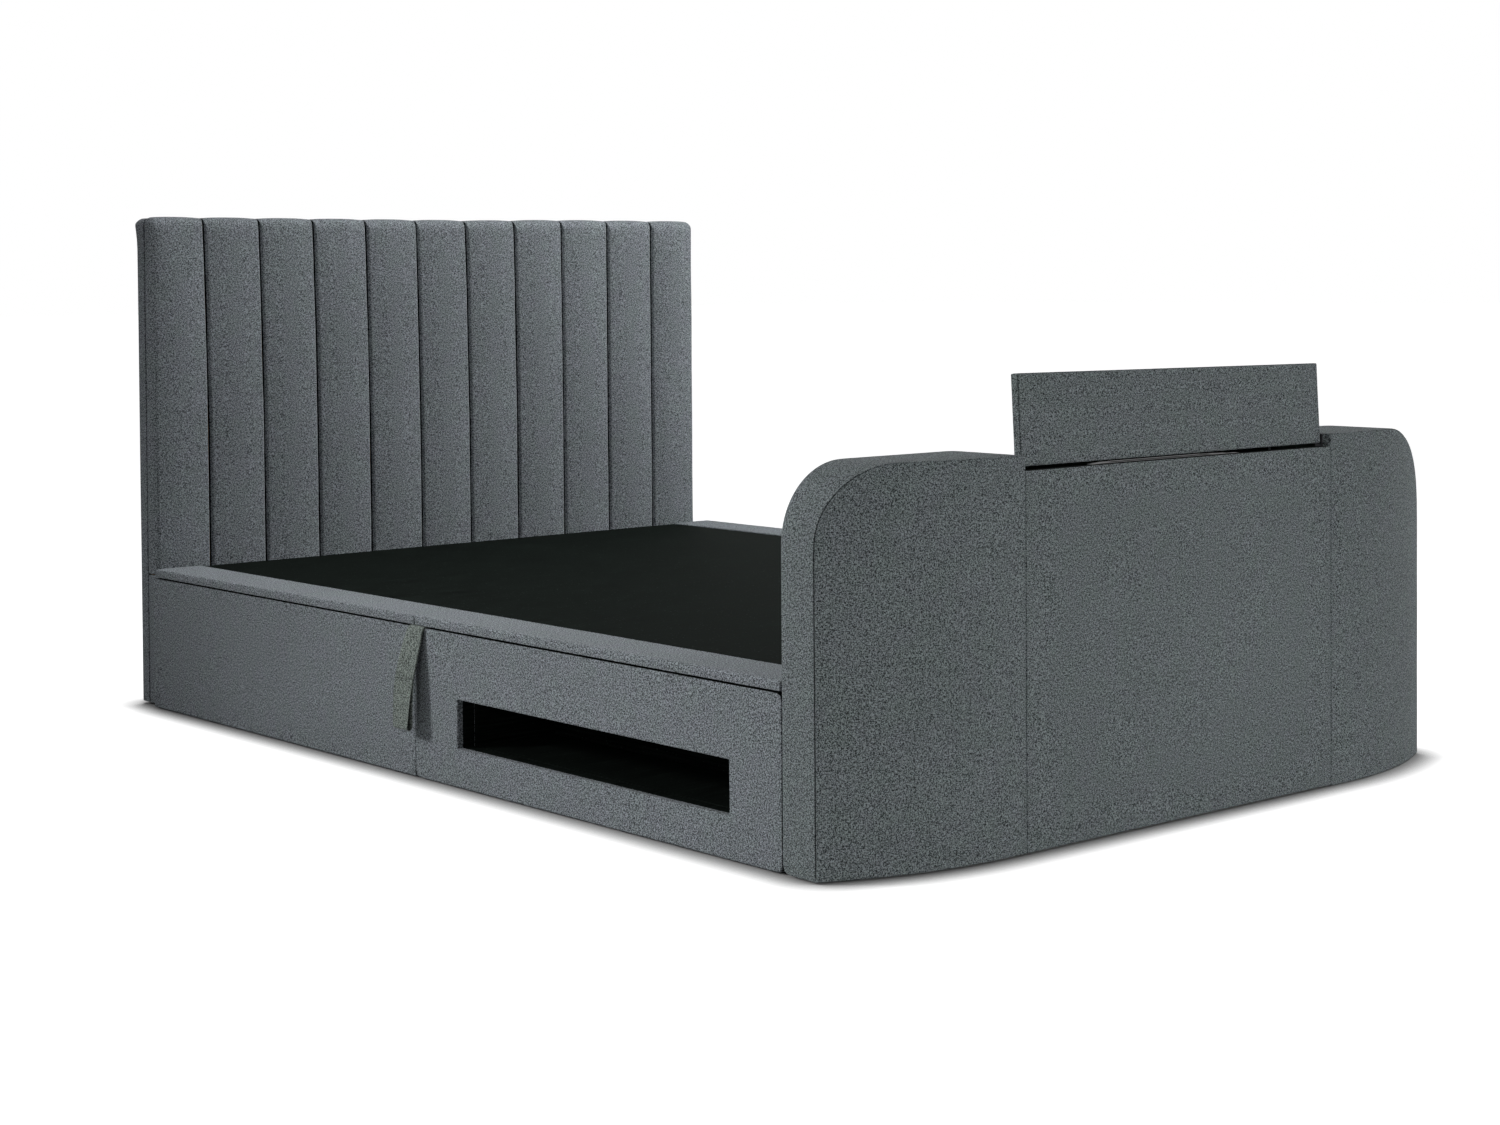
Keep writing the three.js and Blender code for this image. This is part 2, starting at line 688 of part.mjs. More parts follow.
// One ladder-shaped stage of the lift: two upright bars and two cross-members
function liftStage(outerX, frontY, backY, crossFrontY, crossBackY) {
  const innerX = outerX - LIFT_BAR_WIDTH;
  const top = LIFT_STAGE_TOP;
  const bottom = top - LIFT_STAGE_HEIGHT;
  const crossBottoms = [bottom + LIFT_LOWER_CROSS_RISE, top - LIFT_CROSS_HEIGHT];
  return joined(
    box(-outerX, -innerX, frontY, backY, bottom, top),
    box(innerX, outerX, frontY, backY, bottom, top),
    ...crossBottoms.map((z) => {
      const reach = innerX + LIFT_BAR_WIDTH / 2;
      return box(-reach, reach, crossFrontY, crossBackY, z, z + LIFT_CROSS_HEIGHT);
    }),
  );
}

function buildLift() {
  const group = subAssembly(0, footInnerY - FOOTBOARD_DEPTH + CENTRE_PANEL_THICKNESS, 0);
  const floorTop = BAY_FLOOR_HEIGHT + BAY_FLOOR_THICKNESS;
  const plateBack = LIFT_PLATE_THICKNESS;
  const railBack = plateBack + LIFT_RAIL_DEPTH;
  const wall = LIFT_RAIL_WALL;
  const out = LIFT_HALF_WIDTH;
  const inner = out - LIFT_RAIL_WIDTH;
  const overlap = plateBack / 2;
  const rails = [-1, 1].flatMap((side) => [
    box(side * (out - wall), side * out, overlap, railBack, floorTop, LIFT_RAIL_TOP),
    box(side * inner, side * out, railBack - wall, railBack, floorTop, LIFT_RAIL_TOP),
  ]);
  const plate = box(-out, out, 0, plateBack, floorTop, LIFT_RAIL_TOP);
  piece(group, "tv_lift_frame", joined(plate, ...rails), "steel");

  const motorHalf = LIFT_MOTOR_WIDTH / 2;
  const motorTop = floorTop + LIFT_MOTOR_HEIGHT;
  const motor = box(-motorHalf, motorHalf, plateBack, plateBack + LIFT_MOTOR_DEPTH, floorTop, motorTop);
  piece(group, "tv_lift_motor", motor, "plastic");

  const carriageFront = plateBack + LIFT_RUNNING_GAP;
  const carriageOuter = out - wall - LIFT_RUNNING_GAP;
  const carriageBack = railBack - wall - LIFT_RUNNING_GAP;
  const nutBack = carriageFront + LIFT_NUT_THICKNESS;
  const spindleY = (carriageFront + nutBack) / 2;
  const spindleBore = bar("z", LIFT_SPINDLE_RADIUS + LIFT_NUT_CLEARANCE, 0, LIFT_STAGE_TOP + CUT_OVERRUN);
  const carriageBody = liftStage(carriageOuter, carriageFront, carriageBack, carriageFront, nutBack);
  const carriage = cut(carriageBody, spindleBore.translate(0, spindleY, 0));
  piece(group, "tv_lift_carriage", carriage, "steel");
  const spindle = bar("z", LIFT_SPINDLE_RADIUS, motorTop, LIFT_SPINDLE_TOP);
  piece(group, "tv_lift_spindle", spindle, "zinc").position.set(0, spindleY, 0);

  const flapReach = FLAP_THICKNESS + FLAP_LENGTH * Math.sin(flapLean);
  const flapBack = FLAP_SETBACK + flapReach - CENTRE_PANEL_THICKNESS;
  const middleFront = flapBack + LIFT_FLAP_CLEARANCE;
  const middleOuter = carriageOuter - LIFT_BAR_WIDTH - PIECE_GAP;
  const middleBack = middleFront + LIFT_STAGE_THICKNESS;
  const middleCrossBack = middleFront + LIFT_CROSS_THICKNESS;
  const middle = liftStage(middleOuter, middleFront, middleBack, middleFront, middleCrossBack);
  piece(group, "tv_lift_middle_stage", middle, "steel");

  const screenOuter = middleOuter - LIFT_BAR_WIDTH - PIECE_GAP;
  const screenFront = middleCrossBack + LIFT_RUNNING_GAP;
  const screenBack = screenFront + LIFT_STAGE_THICKNESS;
  const screenCrossFront = screenBack - LIFT_CROSS_THICKNESS;
  const stage = liftStage(screenOuter, screenFront, screenBack, screenCrossFront, screenBack);
  const plateBottom = LIFT_STAGE_TOP - SCREEN_PLATE_HEIGHT;
  const screenPlate = box(
    -SCREEN_PLATE_WIDTH / 2,
    SCREEN_PLATE_WIDTH / 2,
    screenBack - PIECE_GAP,
    screenBack + SCREEN_PLATE_THICKNESS,
    plateBottom,
    LIFT_STAGE_TOP,
  );
  const holeY = screenBack + SCREEN_PLATE_THICKNESS + CUT_OVERRUN;
  const holes = [-1, 1].flatMap((sideX) =>
    [-1, 1].map((sideZ) =>
      bar("y", SCREEN_HOLE_RADIUS, screenFront - CUT_OVERRUN, holeY, 10).translate(
        (sideX * SCREEN_HOLE_SPACING_X) / 2,
        0,
        LIFT_STAGE_TOP - SCREEN_PLATE_HEIGHT / 2 + (sideZ * SCREEN_HOLE_SPACING_Z) / 2,
      ),
    ),
  );
  piece(group, "tv_bracket", cut(joined(stage, screenPlate), ...holes), "steel");
}

// A rim's cross-section in (x, z): soft outer edges, bevelled below for the hinge on the far side
function rimSection(side) {
  const r = RIM_EDGE_RADIUS;
  const lower =
    side > 0
      ? [
          [halfWidth - HINGE_BEVEL_WIDTH, rimBottom],
          [halfWidth, rimBottom + HINGE_BEVEL_HEIGHT],
        ]
      : corner(halfWidth - r, rimBottom + r, r, -90, 0, 3);
  const points = [
    [rimInnerX, rimBottom],
    ...lower,
    ...corner(halfWidth - r, rimTop - r, r, 0, 90, 3),
    [rimInnerX, rimTop],
  ];
  return points.map(([x, z]) => [side * x, z]);
}

// Where the strut's two pins stand from the hinge axis, in (x, z)
function strutPins() {
  const lower = THREE.MathUtils.degToRad(STRUT_LOWER_ANGLE);
  const upper = THREE.MathUtils.degToRad(STRUT_UPPER_ANGLE);
  const reach = (hingeZ - strutPinZ) / Math.cos(lower);
  return {
    lower: [hingeX - reach * Math.sin(lower), strutPinZ],
    upper: [hingeX - reach * Math.cos(upper), hingeZ - reach * Math.sin(upper)],
  };
}

// The closed strut's length between its pins
function strutSpan() {
  const pins = strutPins();
  return Math.hypot(pins.upper[0] - pins.lower[0], pins.upper[1] - pins.lower[1]);
}

// Each strut runs beside an end tube of the platform frame: its plane, and the way back to that tube
function strutPlanes() {
  return [
    ["foot", frameFootY + FRAME_TUBE_WIDTH + STRUT_OFFSET, -1],
    ["head", frameHeadY - FRAME_TUBE_WIDTH - STRUT_OFFSET, 1],
  ];
}

function buildPlatform() {
  const group = subAssembly(0, 0, 0);
  for (const [name, side] of [
    ["left", -1],
    ["right", 1],
  ]) {
    const rim = prismY(rimSection(side), platformFootY, platformHeadY);
    piece(group, "platform_rim_" + name, rim, "fabric");
  }
  const boardHalf = rimInnerX - PIECE_GAP;
  const boardTop = frameTop + BOARD_THICKNESS;
  const board = box(-boardHalf, boardHalf, platformFootY, platformHeadY, frameTop, boardTop);
  piece(group, "platform_board", board, "blackFabric");

  const w = FRAME_TUBE_WIDTH;
  const tube = (x0, x1, y0, y1) => box(x0, x1, y0, y1, frameBottom, frameTop);
  const tubes = [
    tube(-frameOuterX, w - frameOuterX, frameFootY, frameHeadY),
    tube(frameOuterX - w, frameOuterX, frameFootY, frameHeadY),
    tube(-frameOuterX, frameOuterX, frameFootY, frameFootY + w),
    tube(-frameOuterX, frameOuterX, frameHeadY - w, frameHeadY),
  ];
  const bays = FRAME_CROSS_COUNT + 1;
  for (let i = 1; i < bays; i += 1) {
    const y = frameFootY + ((frameHeadY - frameFootY) * i) / bays;
    tubes.push(tube(-frameOuterX, frameOuterX, y - w / 2, y + w / 2));
  }
  const [pinX, pinZ] = strutPins().upper;
  const studReach = STRUT_EYE_WIDTH / 2 + STRUT_STUD_OVERHANG;
  for (const [, planeY, back] of strutPlanes()) {
    const ends = [planeY - back * studReach, planeY + back * (STRUT_OFFSET + w / 2)];
    const stud = bar("y", STRUT_STUD_RADIUS, Math.min(...ends), Math.max(...ends));
    tubes.push(stud.translate(pinX, 0, pinZ));
  }
  piece(group, "platform_frame", joined(...tubes), "steel");
}

// One leaf of the long hinge, with every second knuckle along the pin
function hingeLeaf(first, leafZ0, leafZ1, from, to) {
  const pitch = (to - from) / HINGE_KNUCKLE_COUNT;
  const free = hingeX - HINGE_KNUCKLE_RADIUS - PIECE_GAP;
  const solids = [box(free - HINGE_LEAF_WIDTH, free, from, to, leafZ0, leafZ1)];
  for (let i = first; i < HINGE_KNUCKLE_COUNT; i += 2) {
    const y0 = from + pitch * i + HINGE_KNUCKLE_GAP / 2;
    const y1 = from + pitch * (i + 1) - HINGE_KNUCKLE_GAP / 2;
    solids.push(bar("y", HINGE_KNUCKLE_RADIUS, y0, y1, 14).translate(hingeX, 0, hingeZ));
    solids.push(box(free - HINGE_KNUCKLE_GAP, hingeX - HINGE_PIN_RADIUS, y0, y1, leafZ0, leafZ1));
  }
  const bore = bar("y", HINGE_PIN_RADIUS + HINGE_PIN_CLEARANCE, from - CUT_OVERRUN, to + CUT_OVERRUN, 14);
  return cut(joined(...solids), bore.translate(hingeX, 0, hingeZ));
}

function buildHinge() {
  const group = subAssembly(0, 0, 0);
  const from = platformFootY + HINGE_END_INSET;
  const to = platformHeadY - HINGE_END_INSET;
  const fixed = hingeLeaf(0, RAIL_TOP, RAIL_TOP + HINGE_LEAF_THICKNESS, from, to);
  piece(group, "platform_hinge_fixed_leaf", fixed, "zinc");
  const moving = hingeLeaf(1, rimBottom - HINGE_LEAF_THICKNESS, rimBottom, from, to);
  piece(group, "platform_hinge_moving_leaf", moving, "zinc");
  const pin = bar("y", HINGE_PIN_RADIUS, from, to, 12);
  piece(group, "platform_hinge_pin", pin, "zinc").position.set(hingeX, 0, hingeZ);
}

// An eye about the strut's pin, drawn along Y
function strutEye() {
  const half = STRUT_EYE_WIDTH / 2;
  return bar("y", STRUT_EYE_RADIUS, -half, half);
}

function strutEyeBore() {
  const reach = STRUT_EYE_WIDTH / 2 + CUT_OVERRUN;
  return bar("y", STRUT_STUD_RADIUS + PIVOT_CLEARANCE, -reach, reach);
}

// The cylinder, along +X from its pin: a tube closed at its lower end
function strutCylinder() {
  const outer = STRUT_TUBE_RADIUS;
  const bore = STRUT_ROD_RADIUS + STRUT_ROD_CLEARANCE;
  const start = STRUT_TUBE_START;
  const end = strutSpan() - STRUT_ROD_SHOWN;
  const floor = start + STRUT_END_WALL;
  const profile = [
    [0, start],
    [outer, start],
    [outer, end],
    [bore, end],
    [bore, floor],
    [0, floor],
  ].map(([radius, along]) => new THREE.Vector2(radius, along));
  const tube = new THREE.LatheGeometry(profile, 20).rotateZ(-Math.PI / 2);
  const neck = bar("x", STRUT_STUD_RADIUS, STRUT_EYE_RADIUS / 2, start + STRUT_END_WALL / 2, 12);
  return cut(joined(tube, neck, strutEye()), strutEyeBore());
}

// The rod, along -X from its pin into the cylinder
function strutRod() {
  const tip = STRUT_TUBE_START + STRUT_END_WALL + STRUT_TIP_CLEARANCE - strutSpan();
  const rod = bar("x", STRUT_ROD_RADIUS, tip, -STRUT_EYE_RADIUS / 2);
  return cut(joined(rod, strutEye()), strutEyeBore());
}

// The lower bracket: a plate on the rail, one ear beside the eye, and the pin through it
function strutBracket(back) {
  const [pinX, pinZ] = strutPins().lower;
  const face = railInnerX - pinX;
  const half = STRUT_PLATE_HEIGHT / 2;
  const near = STRUT_EYE_WIDTH / 2 + STRUT_EAR_GAP;
  const far = near + STRUT_EAR_THICKNESS;
  const eye = STRUT_EYE_RADIUS;
  const plate = box(face - STRUT_PLATE_THICKNESS, face, -half, half, -half, half);
  const ear = box(-eye, face - STRUT_PLATE_THICKNESS / 2, back * near, back * far, -eye, eye);
  const ends = [-back * near, back * (far - STRUT_EAR_GAP)];
  const pin = bar("y", STRUT_STUD_RADIUS, Math.min(...ends), Math.max(...ends));
  return joined(plate, ear, pin).translate(pinX, 0, pinZ);
}

function buildStruts() {
  const pins = strutPins();
  const slope = Math.atan2(pins.upper[1] - pins.lower[1], pins.upper[0] - pins.lower[0]);
  for (const [name, planeY, back] of strutPlanes()) {
    const bracketGroup = subAssembly(0, planeY, 0);
    piece(bracketGroup, "strut_bracket_" + name, strutBracket(back), "zinc");
    const lower = subAssembly(pins.lower[0], planeY, pins.lower[1]);
    lower.rotation.y = -slope;
    piece(lower, "strut_cylinder_" + name, strutCylinder(), "plastic");
    const upper = subAssembly(pins.upper[0], planeY, pins.upper[1]);
    upper.rotation.y = -slope;
    piece(upper, "strut_rod_" + name, strutRod(), "zinc");
  }
}

// The pull strap's closed outline in (x, z): a doubled tail held in the seam, and a loop that hangs
// and stands away from the rail
function strapOutline() {
  const t = STRAP_LAYER;
  const seamZ = RAIL_TOP + SEAM_GAP / 2;
  const tailIn = STRAP_TAIL - halfWidth;
  const lip = strapLip;
  const turnX = -halfWidth - lip;
  const bottomZ = seamZ - STRAP_HANG;
  const footX = -halfWidth - STRAP_STAND_OFF;
  const halfOpen = STRAP_OPENING / 2;
  const outerFront = [
    [tailIn, seamZ + t],
    [-halfWidth, seamZ + t],
    ...corner(-halfWidth, seamZ + t - lip, lip, 100, 160),
  ];
  const centreX = footX + halfOpen;
  const fold = corner(centreX, bottomZ + halfOpen, halfOpen + t, 190, 370, 8);
  const innerBack = [
    [turnX + lip, seamZ - STRAP_HANG * STRAP_BACK_SHARE],
    [-halfWidth - t, seamZ - lip],
    [-halfWidth - t, seamZ - t],
    [tailIn, seamZ - t],
  ];
  return [...outerFront, ...fold, ...innerBack];
}

// The loop's opening between its two layers
function strapHole() {
  const t = STRAP_LAYER;
  const lip = strapLip;
  const seamZ = RAIL_TOP + SEAM_GAP / 2;
  const halfOpen = STRAP_OPENING / 2;
  const bottomZ = seamZ - STRAP_HANG;
  const centreX = -halfWidth - STRAP_STAND_OFF + halfOpen;
  const topZ = seamZ - lip - STRAP_OPENING;
  return [...corner(centreX, bottomZ + halfOpen, halfOpen, 190, 370, 8), [-halfWidth - lip / 2 - t, topZ]];
}

function buildStrap() {
  const group = subAssembly(0, jointY - STRAP_TOWARDS_FOOT, 0);
  const half = STRAP_WIDTH / 2;
  const strap = cut(
    prismY(strapOutline(), -half, half),
    prismY(strapHole(), -half - CUT_OVERRUN, half + CUT_OVERRUN),
  );
  piece(group, "pull_strap", strap, "webbing");
}

buildHeadboard();
buildRails();
buildMediaShelf();
buildStorageBase();
buildGlides();
buildFootboard();
buildFlap();
buildLift();
buildPlatform();
buildHinge();
buildStruts();
buildStrap();

export default bed;
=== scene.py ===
# Upholstered storage bed with a television lift: its visible surfaces, materials, floor, light and camera
import json
import math

import bmesh
import bpy
from mathutils import Matrix, Vector, noise


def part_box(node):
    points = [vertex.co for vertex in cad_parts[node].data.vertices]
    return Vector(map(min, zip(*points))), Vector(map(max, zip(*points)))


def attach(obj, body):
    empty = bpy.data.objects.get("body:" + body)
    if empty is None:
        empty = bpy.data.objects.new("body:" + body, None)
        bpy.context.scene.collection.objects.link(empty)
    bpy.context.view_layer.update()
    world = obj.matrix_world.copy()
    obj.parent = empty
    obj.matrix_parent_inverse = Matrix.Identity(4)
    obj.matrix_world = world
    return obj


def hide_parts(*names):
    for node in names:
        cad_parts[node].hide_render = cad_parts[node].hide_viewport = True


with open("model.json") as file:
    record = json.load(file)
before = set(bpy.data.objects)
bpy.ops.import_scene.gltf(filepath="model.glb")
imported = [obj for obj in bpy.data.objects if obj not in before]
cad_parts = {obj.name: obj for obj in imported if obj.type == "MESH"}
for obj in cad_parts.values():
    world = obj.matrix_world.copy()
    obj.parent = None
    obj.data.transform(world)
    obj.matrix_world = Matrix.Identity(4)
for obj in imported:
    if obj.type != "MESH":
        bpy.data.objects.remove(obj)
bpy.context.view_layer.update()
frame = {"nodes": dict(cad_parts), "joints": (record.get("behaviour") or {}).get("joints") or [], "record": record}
SLOT_OF = {row["node"]: row["material_slot"] for row in frame["record"]["subparts"]}

# All lengths are in metres. A pair that rounds an edge is (inwards, back).
SIDES = ("left", "right", "bottom", "top")

# Headboard
CHANNEL_COUNT = 11
CHANNEL_DEPTH = 0.0115
CHANNEL_CROWN = 0.004
CHANNEL_PUFF = 0.004
CHANNEL_VALLEY = (0.007, 0.010)
CHANNEL_END_ROLL = (0.014, 0.022)
CHANNEL_TOP_ROLL = (0.024, 0.022)
CHANNEL_SCALLOP = 0.0024
CHANNEL_TOP_ZONE = 0.05
CHANNEL_LIFT = 0.0006
CHANNEL_GAP = 0.0006
CHANNEL_PUCKER = 0.0005
CHANNEL_WANDER = 0.0011
HEADBOARD_BAND = 0.028
HEADBOARD_CORNER = 0.016
HEADBOARD_SQUEEZE = 0.9955
HEADBOARD_SHIFT = 0.003
HEADBOARD_TUCK = 0.0015
HEADBOARD_TUCK_FROM = 0.2
HEADBOARD_TUCK_RUN = 0.558
HEADBOARD_RISE = 0.0035
HEADBOARD_RISE_FROM = 0.1
HEADBOARD_RISE_RUN = 0.25
SEAM_DRIFT = 0.009
SEAM_DRIFT_LEFT = (-0.758, 0.13)
SEAM_DRIFT_RIGHT = (-0.48, 0.38)
SHELL_PUFF = 0.005
SHELL_DROP = 0.0025
SHELL_BACK = 0.0042
SHELL_FOLD = 0.0045
LIP = 0.009
LIP_TO_BAND = 0.0162

# Upholstered panels
PANEL_ROUND = 0.006
HEM_ROUND = 0.004
HEM_DROP = 0.0035
SEAM_ROUND = 0.0022
SEAM_GAP = 0.0004
SEAM_GROOVE = 0.0022
GROOVE_CORE = 0.03
SIDE_BLEND = 0.0015
SMALLEST_RADIUS = 0.0002
BACK_GAP = 0.0002
PANEL_PUFF = 0.002
RIPPLE = 0.0005

# Footboard, with the left side as -1 and the right side as 1
BAY_HALF = 0.395
ARC_START = 0.440
END_DEPTH = {-1: 0.076, 1: 0.083}
SHOULDER_RADIUS = {-1: 0.125, 1: 0.175}
WING_HEM_DROP = {-1: 0.0035, 1: 0.0055}
WING_LIP = 0.0035
WING_EDGE = 0.003
SHOULDER_RISE = {-1: 0.003, 1: 0.0}
CENTRE_TOP_DROP = 0.0018

# Rails and rims
RAIL_TOP_ROUND = 0.0025
RAIL_END_ROUND = 0.002
RAIL_JOINT_GAP = 0.0007
RAIL_END_GAP = 0.0020
SLOT_FROM_FOOT = 0.127
SLOT_FROM_JOINT = 0.138
SLOT_BOTTOM = 0.073
SLOT_TOP = 0.161
SLOT_REVEAL = 0.0025
SLOT_HOLD = 0.004
RAIL_THICKNESS = 0.040
HINGE_BEVEL_WIDTH = 0.010
HINGE_BEVEL_HEIGHT = 0.006
RIM_SEAM_DEPTH = 0.004
RIM_SEAM_HALF = 0.002
RIM_SEAM_CUTS = (-0.003, -0.001, 0.0, 0.001, 0.003)

# A face whose normal leans this far along an axis looks that way
FACING = 0.93
FACING_CLOSELY = 0.97

# Flap
FLAP_LEAN = math.radians(3)
FLAP_THICKNESS = 0.020
FLAP_LENGTH = 0.145
FLAP_SWELL = 0.0060
FLAP_TAPER = 0.02
FLAP_CREASE = 0.0026
FLAP_PUFF = 0.0012

# Pull strap: STITCH_DROP is a share of its drop, STITCH_HEIGHT the same place above the floor
STITCH_DROP = 0.49
STITCH_HEIGHT = 0.188
STRAP_SKEW = 0.007
STRAP_TWIST = 0.0042
STRAP_HALF_WIDTH = 0.0238
STRAP_HALF_THICKNESS = 0.0006
STRAP_UNDER_RIM = 0.039
STRAP_FOLD = (0.0058, 0.0075)

# How the strap hangs: shares of its drop and of its reach outwards
STRAP_CURVE = (
    *((0.0, 0.0), (0.02, 0.1), (0.06, 0.18), (0.13, 0.27), (0.22, 0.4)),
    *((0.32, 0.53), (0.5, 0.75), (0.72, 0.9), (0.94, 0.98)),
)

# Floor and world
FLOOR_TONE = 0.4
FLOOR_REACH = 60.0
# How far round the bed the floor's glow is dimmed: a painted contact shadow
PAINTED_SHADOW_REACH = 0.07
WORLD_GLOW = 0.106

# Camera, fitted to the photograph, in its pixels and in degrees of yaw, pitch and roll
FOCAL_PIXELS = 2495.2
IMAGE_WIDTH = 1500
MIDDLE_ROW = 562.5
CENTRE_ROW = 341.7
CAMERA_TURN = (40.665, 1.467, -0.412)
CAMERA_PLACE = (-3.2730, -3.8212, 0.9145)

# Cloth
CLOTH_FRAMES = 20
CLOTH_PRESSURE = 4.0


# Materials


class Shader:
    """Short calls for building the nodes of one material or world"""

    def __init__(self, owner, surface="Principled BSDF", **sockets):
        owner.use_nodes = True
        self.owner = owner
        self.tree = owner.node_tree
        self.surface = self.tree.nodes[surface]
        self.set(**sockets)

    def set(self, **sockets):
        """Sets or links sockets of the surface; an underscore stands for a blank"""
        for key, value in sockets.items():
            self.put(self.surface.inputs[key.replace("_", " ")], value)

    def put(self, socket, value):
        if isinstance(value, bpy.types.NodeSocket):
            self.tree.links.new(value, socket)
        else:
            socket.default_value = value

    def node(self, kind, inputs=(), output=0, **settings):
        made = self.tree.nodes.new("ShaderNode" + kind)
        for key, value in settings.items():
            setattr(made, key, value)
        for key, value in dict(inputs).items():
            self.put(made.inputs[key], value)
        return made.outputs[output]

    def sum(self, operation, first, second=0.0, third=0.0):
        return self.node("Math", {0: first, 1: second, 2: third}, operation=operation)

    def times(self, first, second):
        return self.sum("MULTIPLY", first, second)

    def weigh(self, first, weight, second, other_weight):
        return self.sum("MULTIPLY_ADD", first, weight, self.times(second, other_weight))

    def blend(self, share, first, second):
        """The second value where share is 1, the first where it is 0"""
        return self.sum("MULTIPLY_ADD", share, self.sum("SUBTRACT", second, first), first)

    def point(self):
        return self.node("TexCoord", output="Object")

    def parts(self, vector):
        made = self.tree.nodes.new("ShaderNodeSeparateXYZ")
        self.put(made.inputs[0], vector)
        return made.outputs

    def vector(self, x, y, z=0.0):
        return self.node("CombineXYZ", {0: x, 1: y, 2: z})

    def stretched(self, x, y, z):
        """The point with its axes multiplied, for noise that runs along one of them"""
        return self.vector(*(self.times(axis, by) for axis, by in zip(self.parts(self.point()), (x, y, z))))

    def noise(self, vector, scale=1.0, detail=2.0, roughness=0.5):
        inputs = {"Vector": vector, "Scale": scale, "Detail": detail, "Roughness": roughness}
        return self.node("TexNoise", inputs)

    def span(self, value, low, high, to_low=0.0, to_high=1.0):
        keys = ("Value", "From Min", "From Max", "To Min", "To Max")
        return self.node("MapRange", zip(keys, (value, low, high, to_low, to_high)))

    def mix(self, share, first, second, blend="MIX"):
        made = self.tree.nodes.new("ShaderNodeMix")
        made.data_type = "RGBA"
        made.blend_type = blend
        for key, value in ((0, share), (6, first), (7, second)):
            self.put(made.inputs[key], value)
        return made.outputs[2]

    def ramp(self, share, stops):
        made = self.tree.nodes.new("ShaderNodeValToRGB")
        ramp = made.color_ramp
        while len(ramp.elements) < len(stops):
            ramp.elements.new(0.5)
        for element, (place, colour) in zip(ramp.elements, stops):
            element.position = place
            element.color = (*colour, 1)
        self.put(made.inputs[0], share)
        return made.outputs[0]

    def shades(self, share, base, *stops):
        """One colour made darker or lighter: stops give a place and a factor"""
        return self.ramp(share, [(place, scaled(base, factor)) for place, factor in stops])

    def done(self, colour, roughness, height, strength, distance):
        """Links the colour, the roughness and a bump, and gives the finished material"""
        bump = self.node("Bump", {"Height": height, "Strength": strength, "Distance": distance})
        self.set(Base_Color=colour, Roughness=roughness, Normal=bump)
        return self.owner

    def face_axes(self):
        """Two axes that lie in the face: across and up, in metres"""
        normal = self.parts(self.node("TexCoord", output="Normal"))
        x, y, z = self.parts(self.point())
        leans = (self.sum("ABSOLUTE", axis) for axis in (normal[0], normal[2]))
        on_end, on_top = (self.sum("GREATER_THAN", lean, 0.7) for lean in leans)
        return self.blend(on_end, x, y), self.blend(on_top, z, y)


def new_material(name, **sockets):
    return Shader(bpy.data.materials.new(name), **sockets)


def scaled(colour, factor):
    return tuple(min(1.0, value * factor) for value in colour)


def linear(red, green, blue):
    """Display values from 0 to 255 as the linear colour that shaders take"""
    values = (channel / 255 for channel in (red, green, blue))
    return tuple(v / 12.92 if v <= 0.04045 else ((v + 0.055) / 1.055) ** 2.4 for v in values)


def woven_material(name, base, contrast, flecks):
    """Heathered plain weave: flecked warp and weft yarns that pass over and under each other"""
    thread = 0.0014
    s = new_material(name, Sheen_Weight=0.04, Sheen_Roughness=0.45, Specular_IOR_Level=0.06)
    across, up = s.face_axes()
    fine, long = 1 / (1.5 * thread), 1 / (3.2 * thread)
    warp = s.noise(s.vector(s.times(across, fine), s.times(up, long)))
    weft = s.noise(s.vector(s.times(across, long), s.times(up, fine), 7.0))
    turn = math.pi / thread
    wave_u = s.sum("SINE", s.times(across, turn))
    wave_v = s.sum("SINE", s.times(up, turn))
    over = s.sum("GREATER_THAN", s.times(wave_u, wave_v), 0.0)
    yarn = s.blend(over, weft, warp)
    fleck = s.noise(s.point(), flecks, 1.0)
    tone = s.weigh(fleck, 0.5, yarn, 0.5)
    colour = s.shades(tone, base, (0.42, 1 - contrast), (0.5, 1.0), (0.58, 1 + 1.35 * contrast))
    patch = s.span(s.noise(s.point(), 22.0, 2.0), 0.35, 0.65)
    tint = s.ramp(patch, [(0.0, (0.97, 1.0, 0.985)), (1.0, (1.0, 0.985, 1.02))])
    colour = s.mix(1.0, colour, tint, "MULTIPLY")
    cloud = s.span(s.noise(s.point(), 2.6, 2.0), 0.3, 0.7, 0.95, 1.04)
    colour = s.mix(1.0, colour, s.vector(cloud, cloud, cloud), "MULTIPLY")
    ridge = s.blend(over, s.sum("ABSOLUTE", wave_v), s.sum("ABSOLUTE", wave_u))
    height = s.weigh(yarn, 0.8, ridge, 0.5)
    return s.done(colour, s.span(yarn, 0.3, 0.7, 0.84, 0.97), height, 0.5, 0.0005)


def black_cloth_material(name, base, streak):
    """Thin black cloth with long faint slubs along the bed's width"""
    s = new_material(name, Specular_IOR_Level=0.01)
    across, up = s.face_axes()
    slub = s.noise(s.vector(s.times(across, 7.0), s.times(up, 210.0)), detail=3.0)
    grain = s.noise(s.point(), 900.0, 2.0)
    tone = s.weigh(slub, 0.75, grain, 0.25)
    lint = s.span(s.noise(s.point(), 260.0, 0.0), 0.79, 0.83)
    cloth = s.shades(tone, base, (0.35, 1 - streak), (0.52, 1.0), (0.72, 1 + 1.8 * streak))
    colour = s.mix(lint, cloth, (*scaled(base, 6.0), 1))
    return s.done(colour, s.span(slub, 0.3, 0.7, 0.72, 0.9), tone, 0.35, 0.0004)


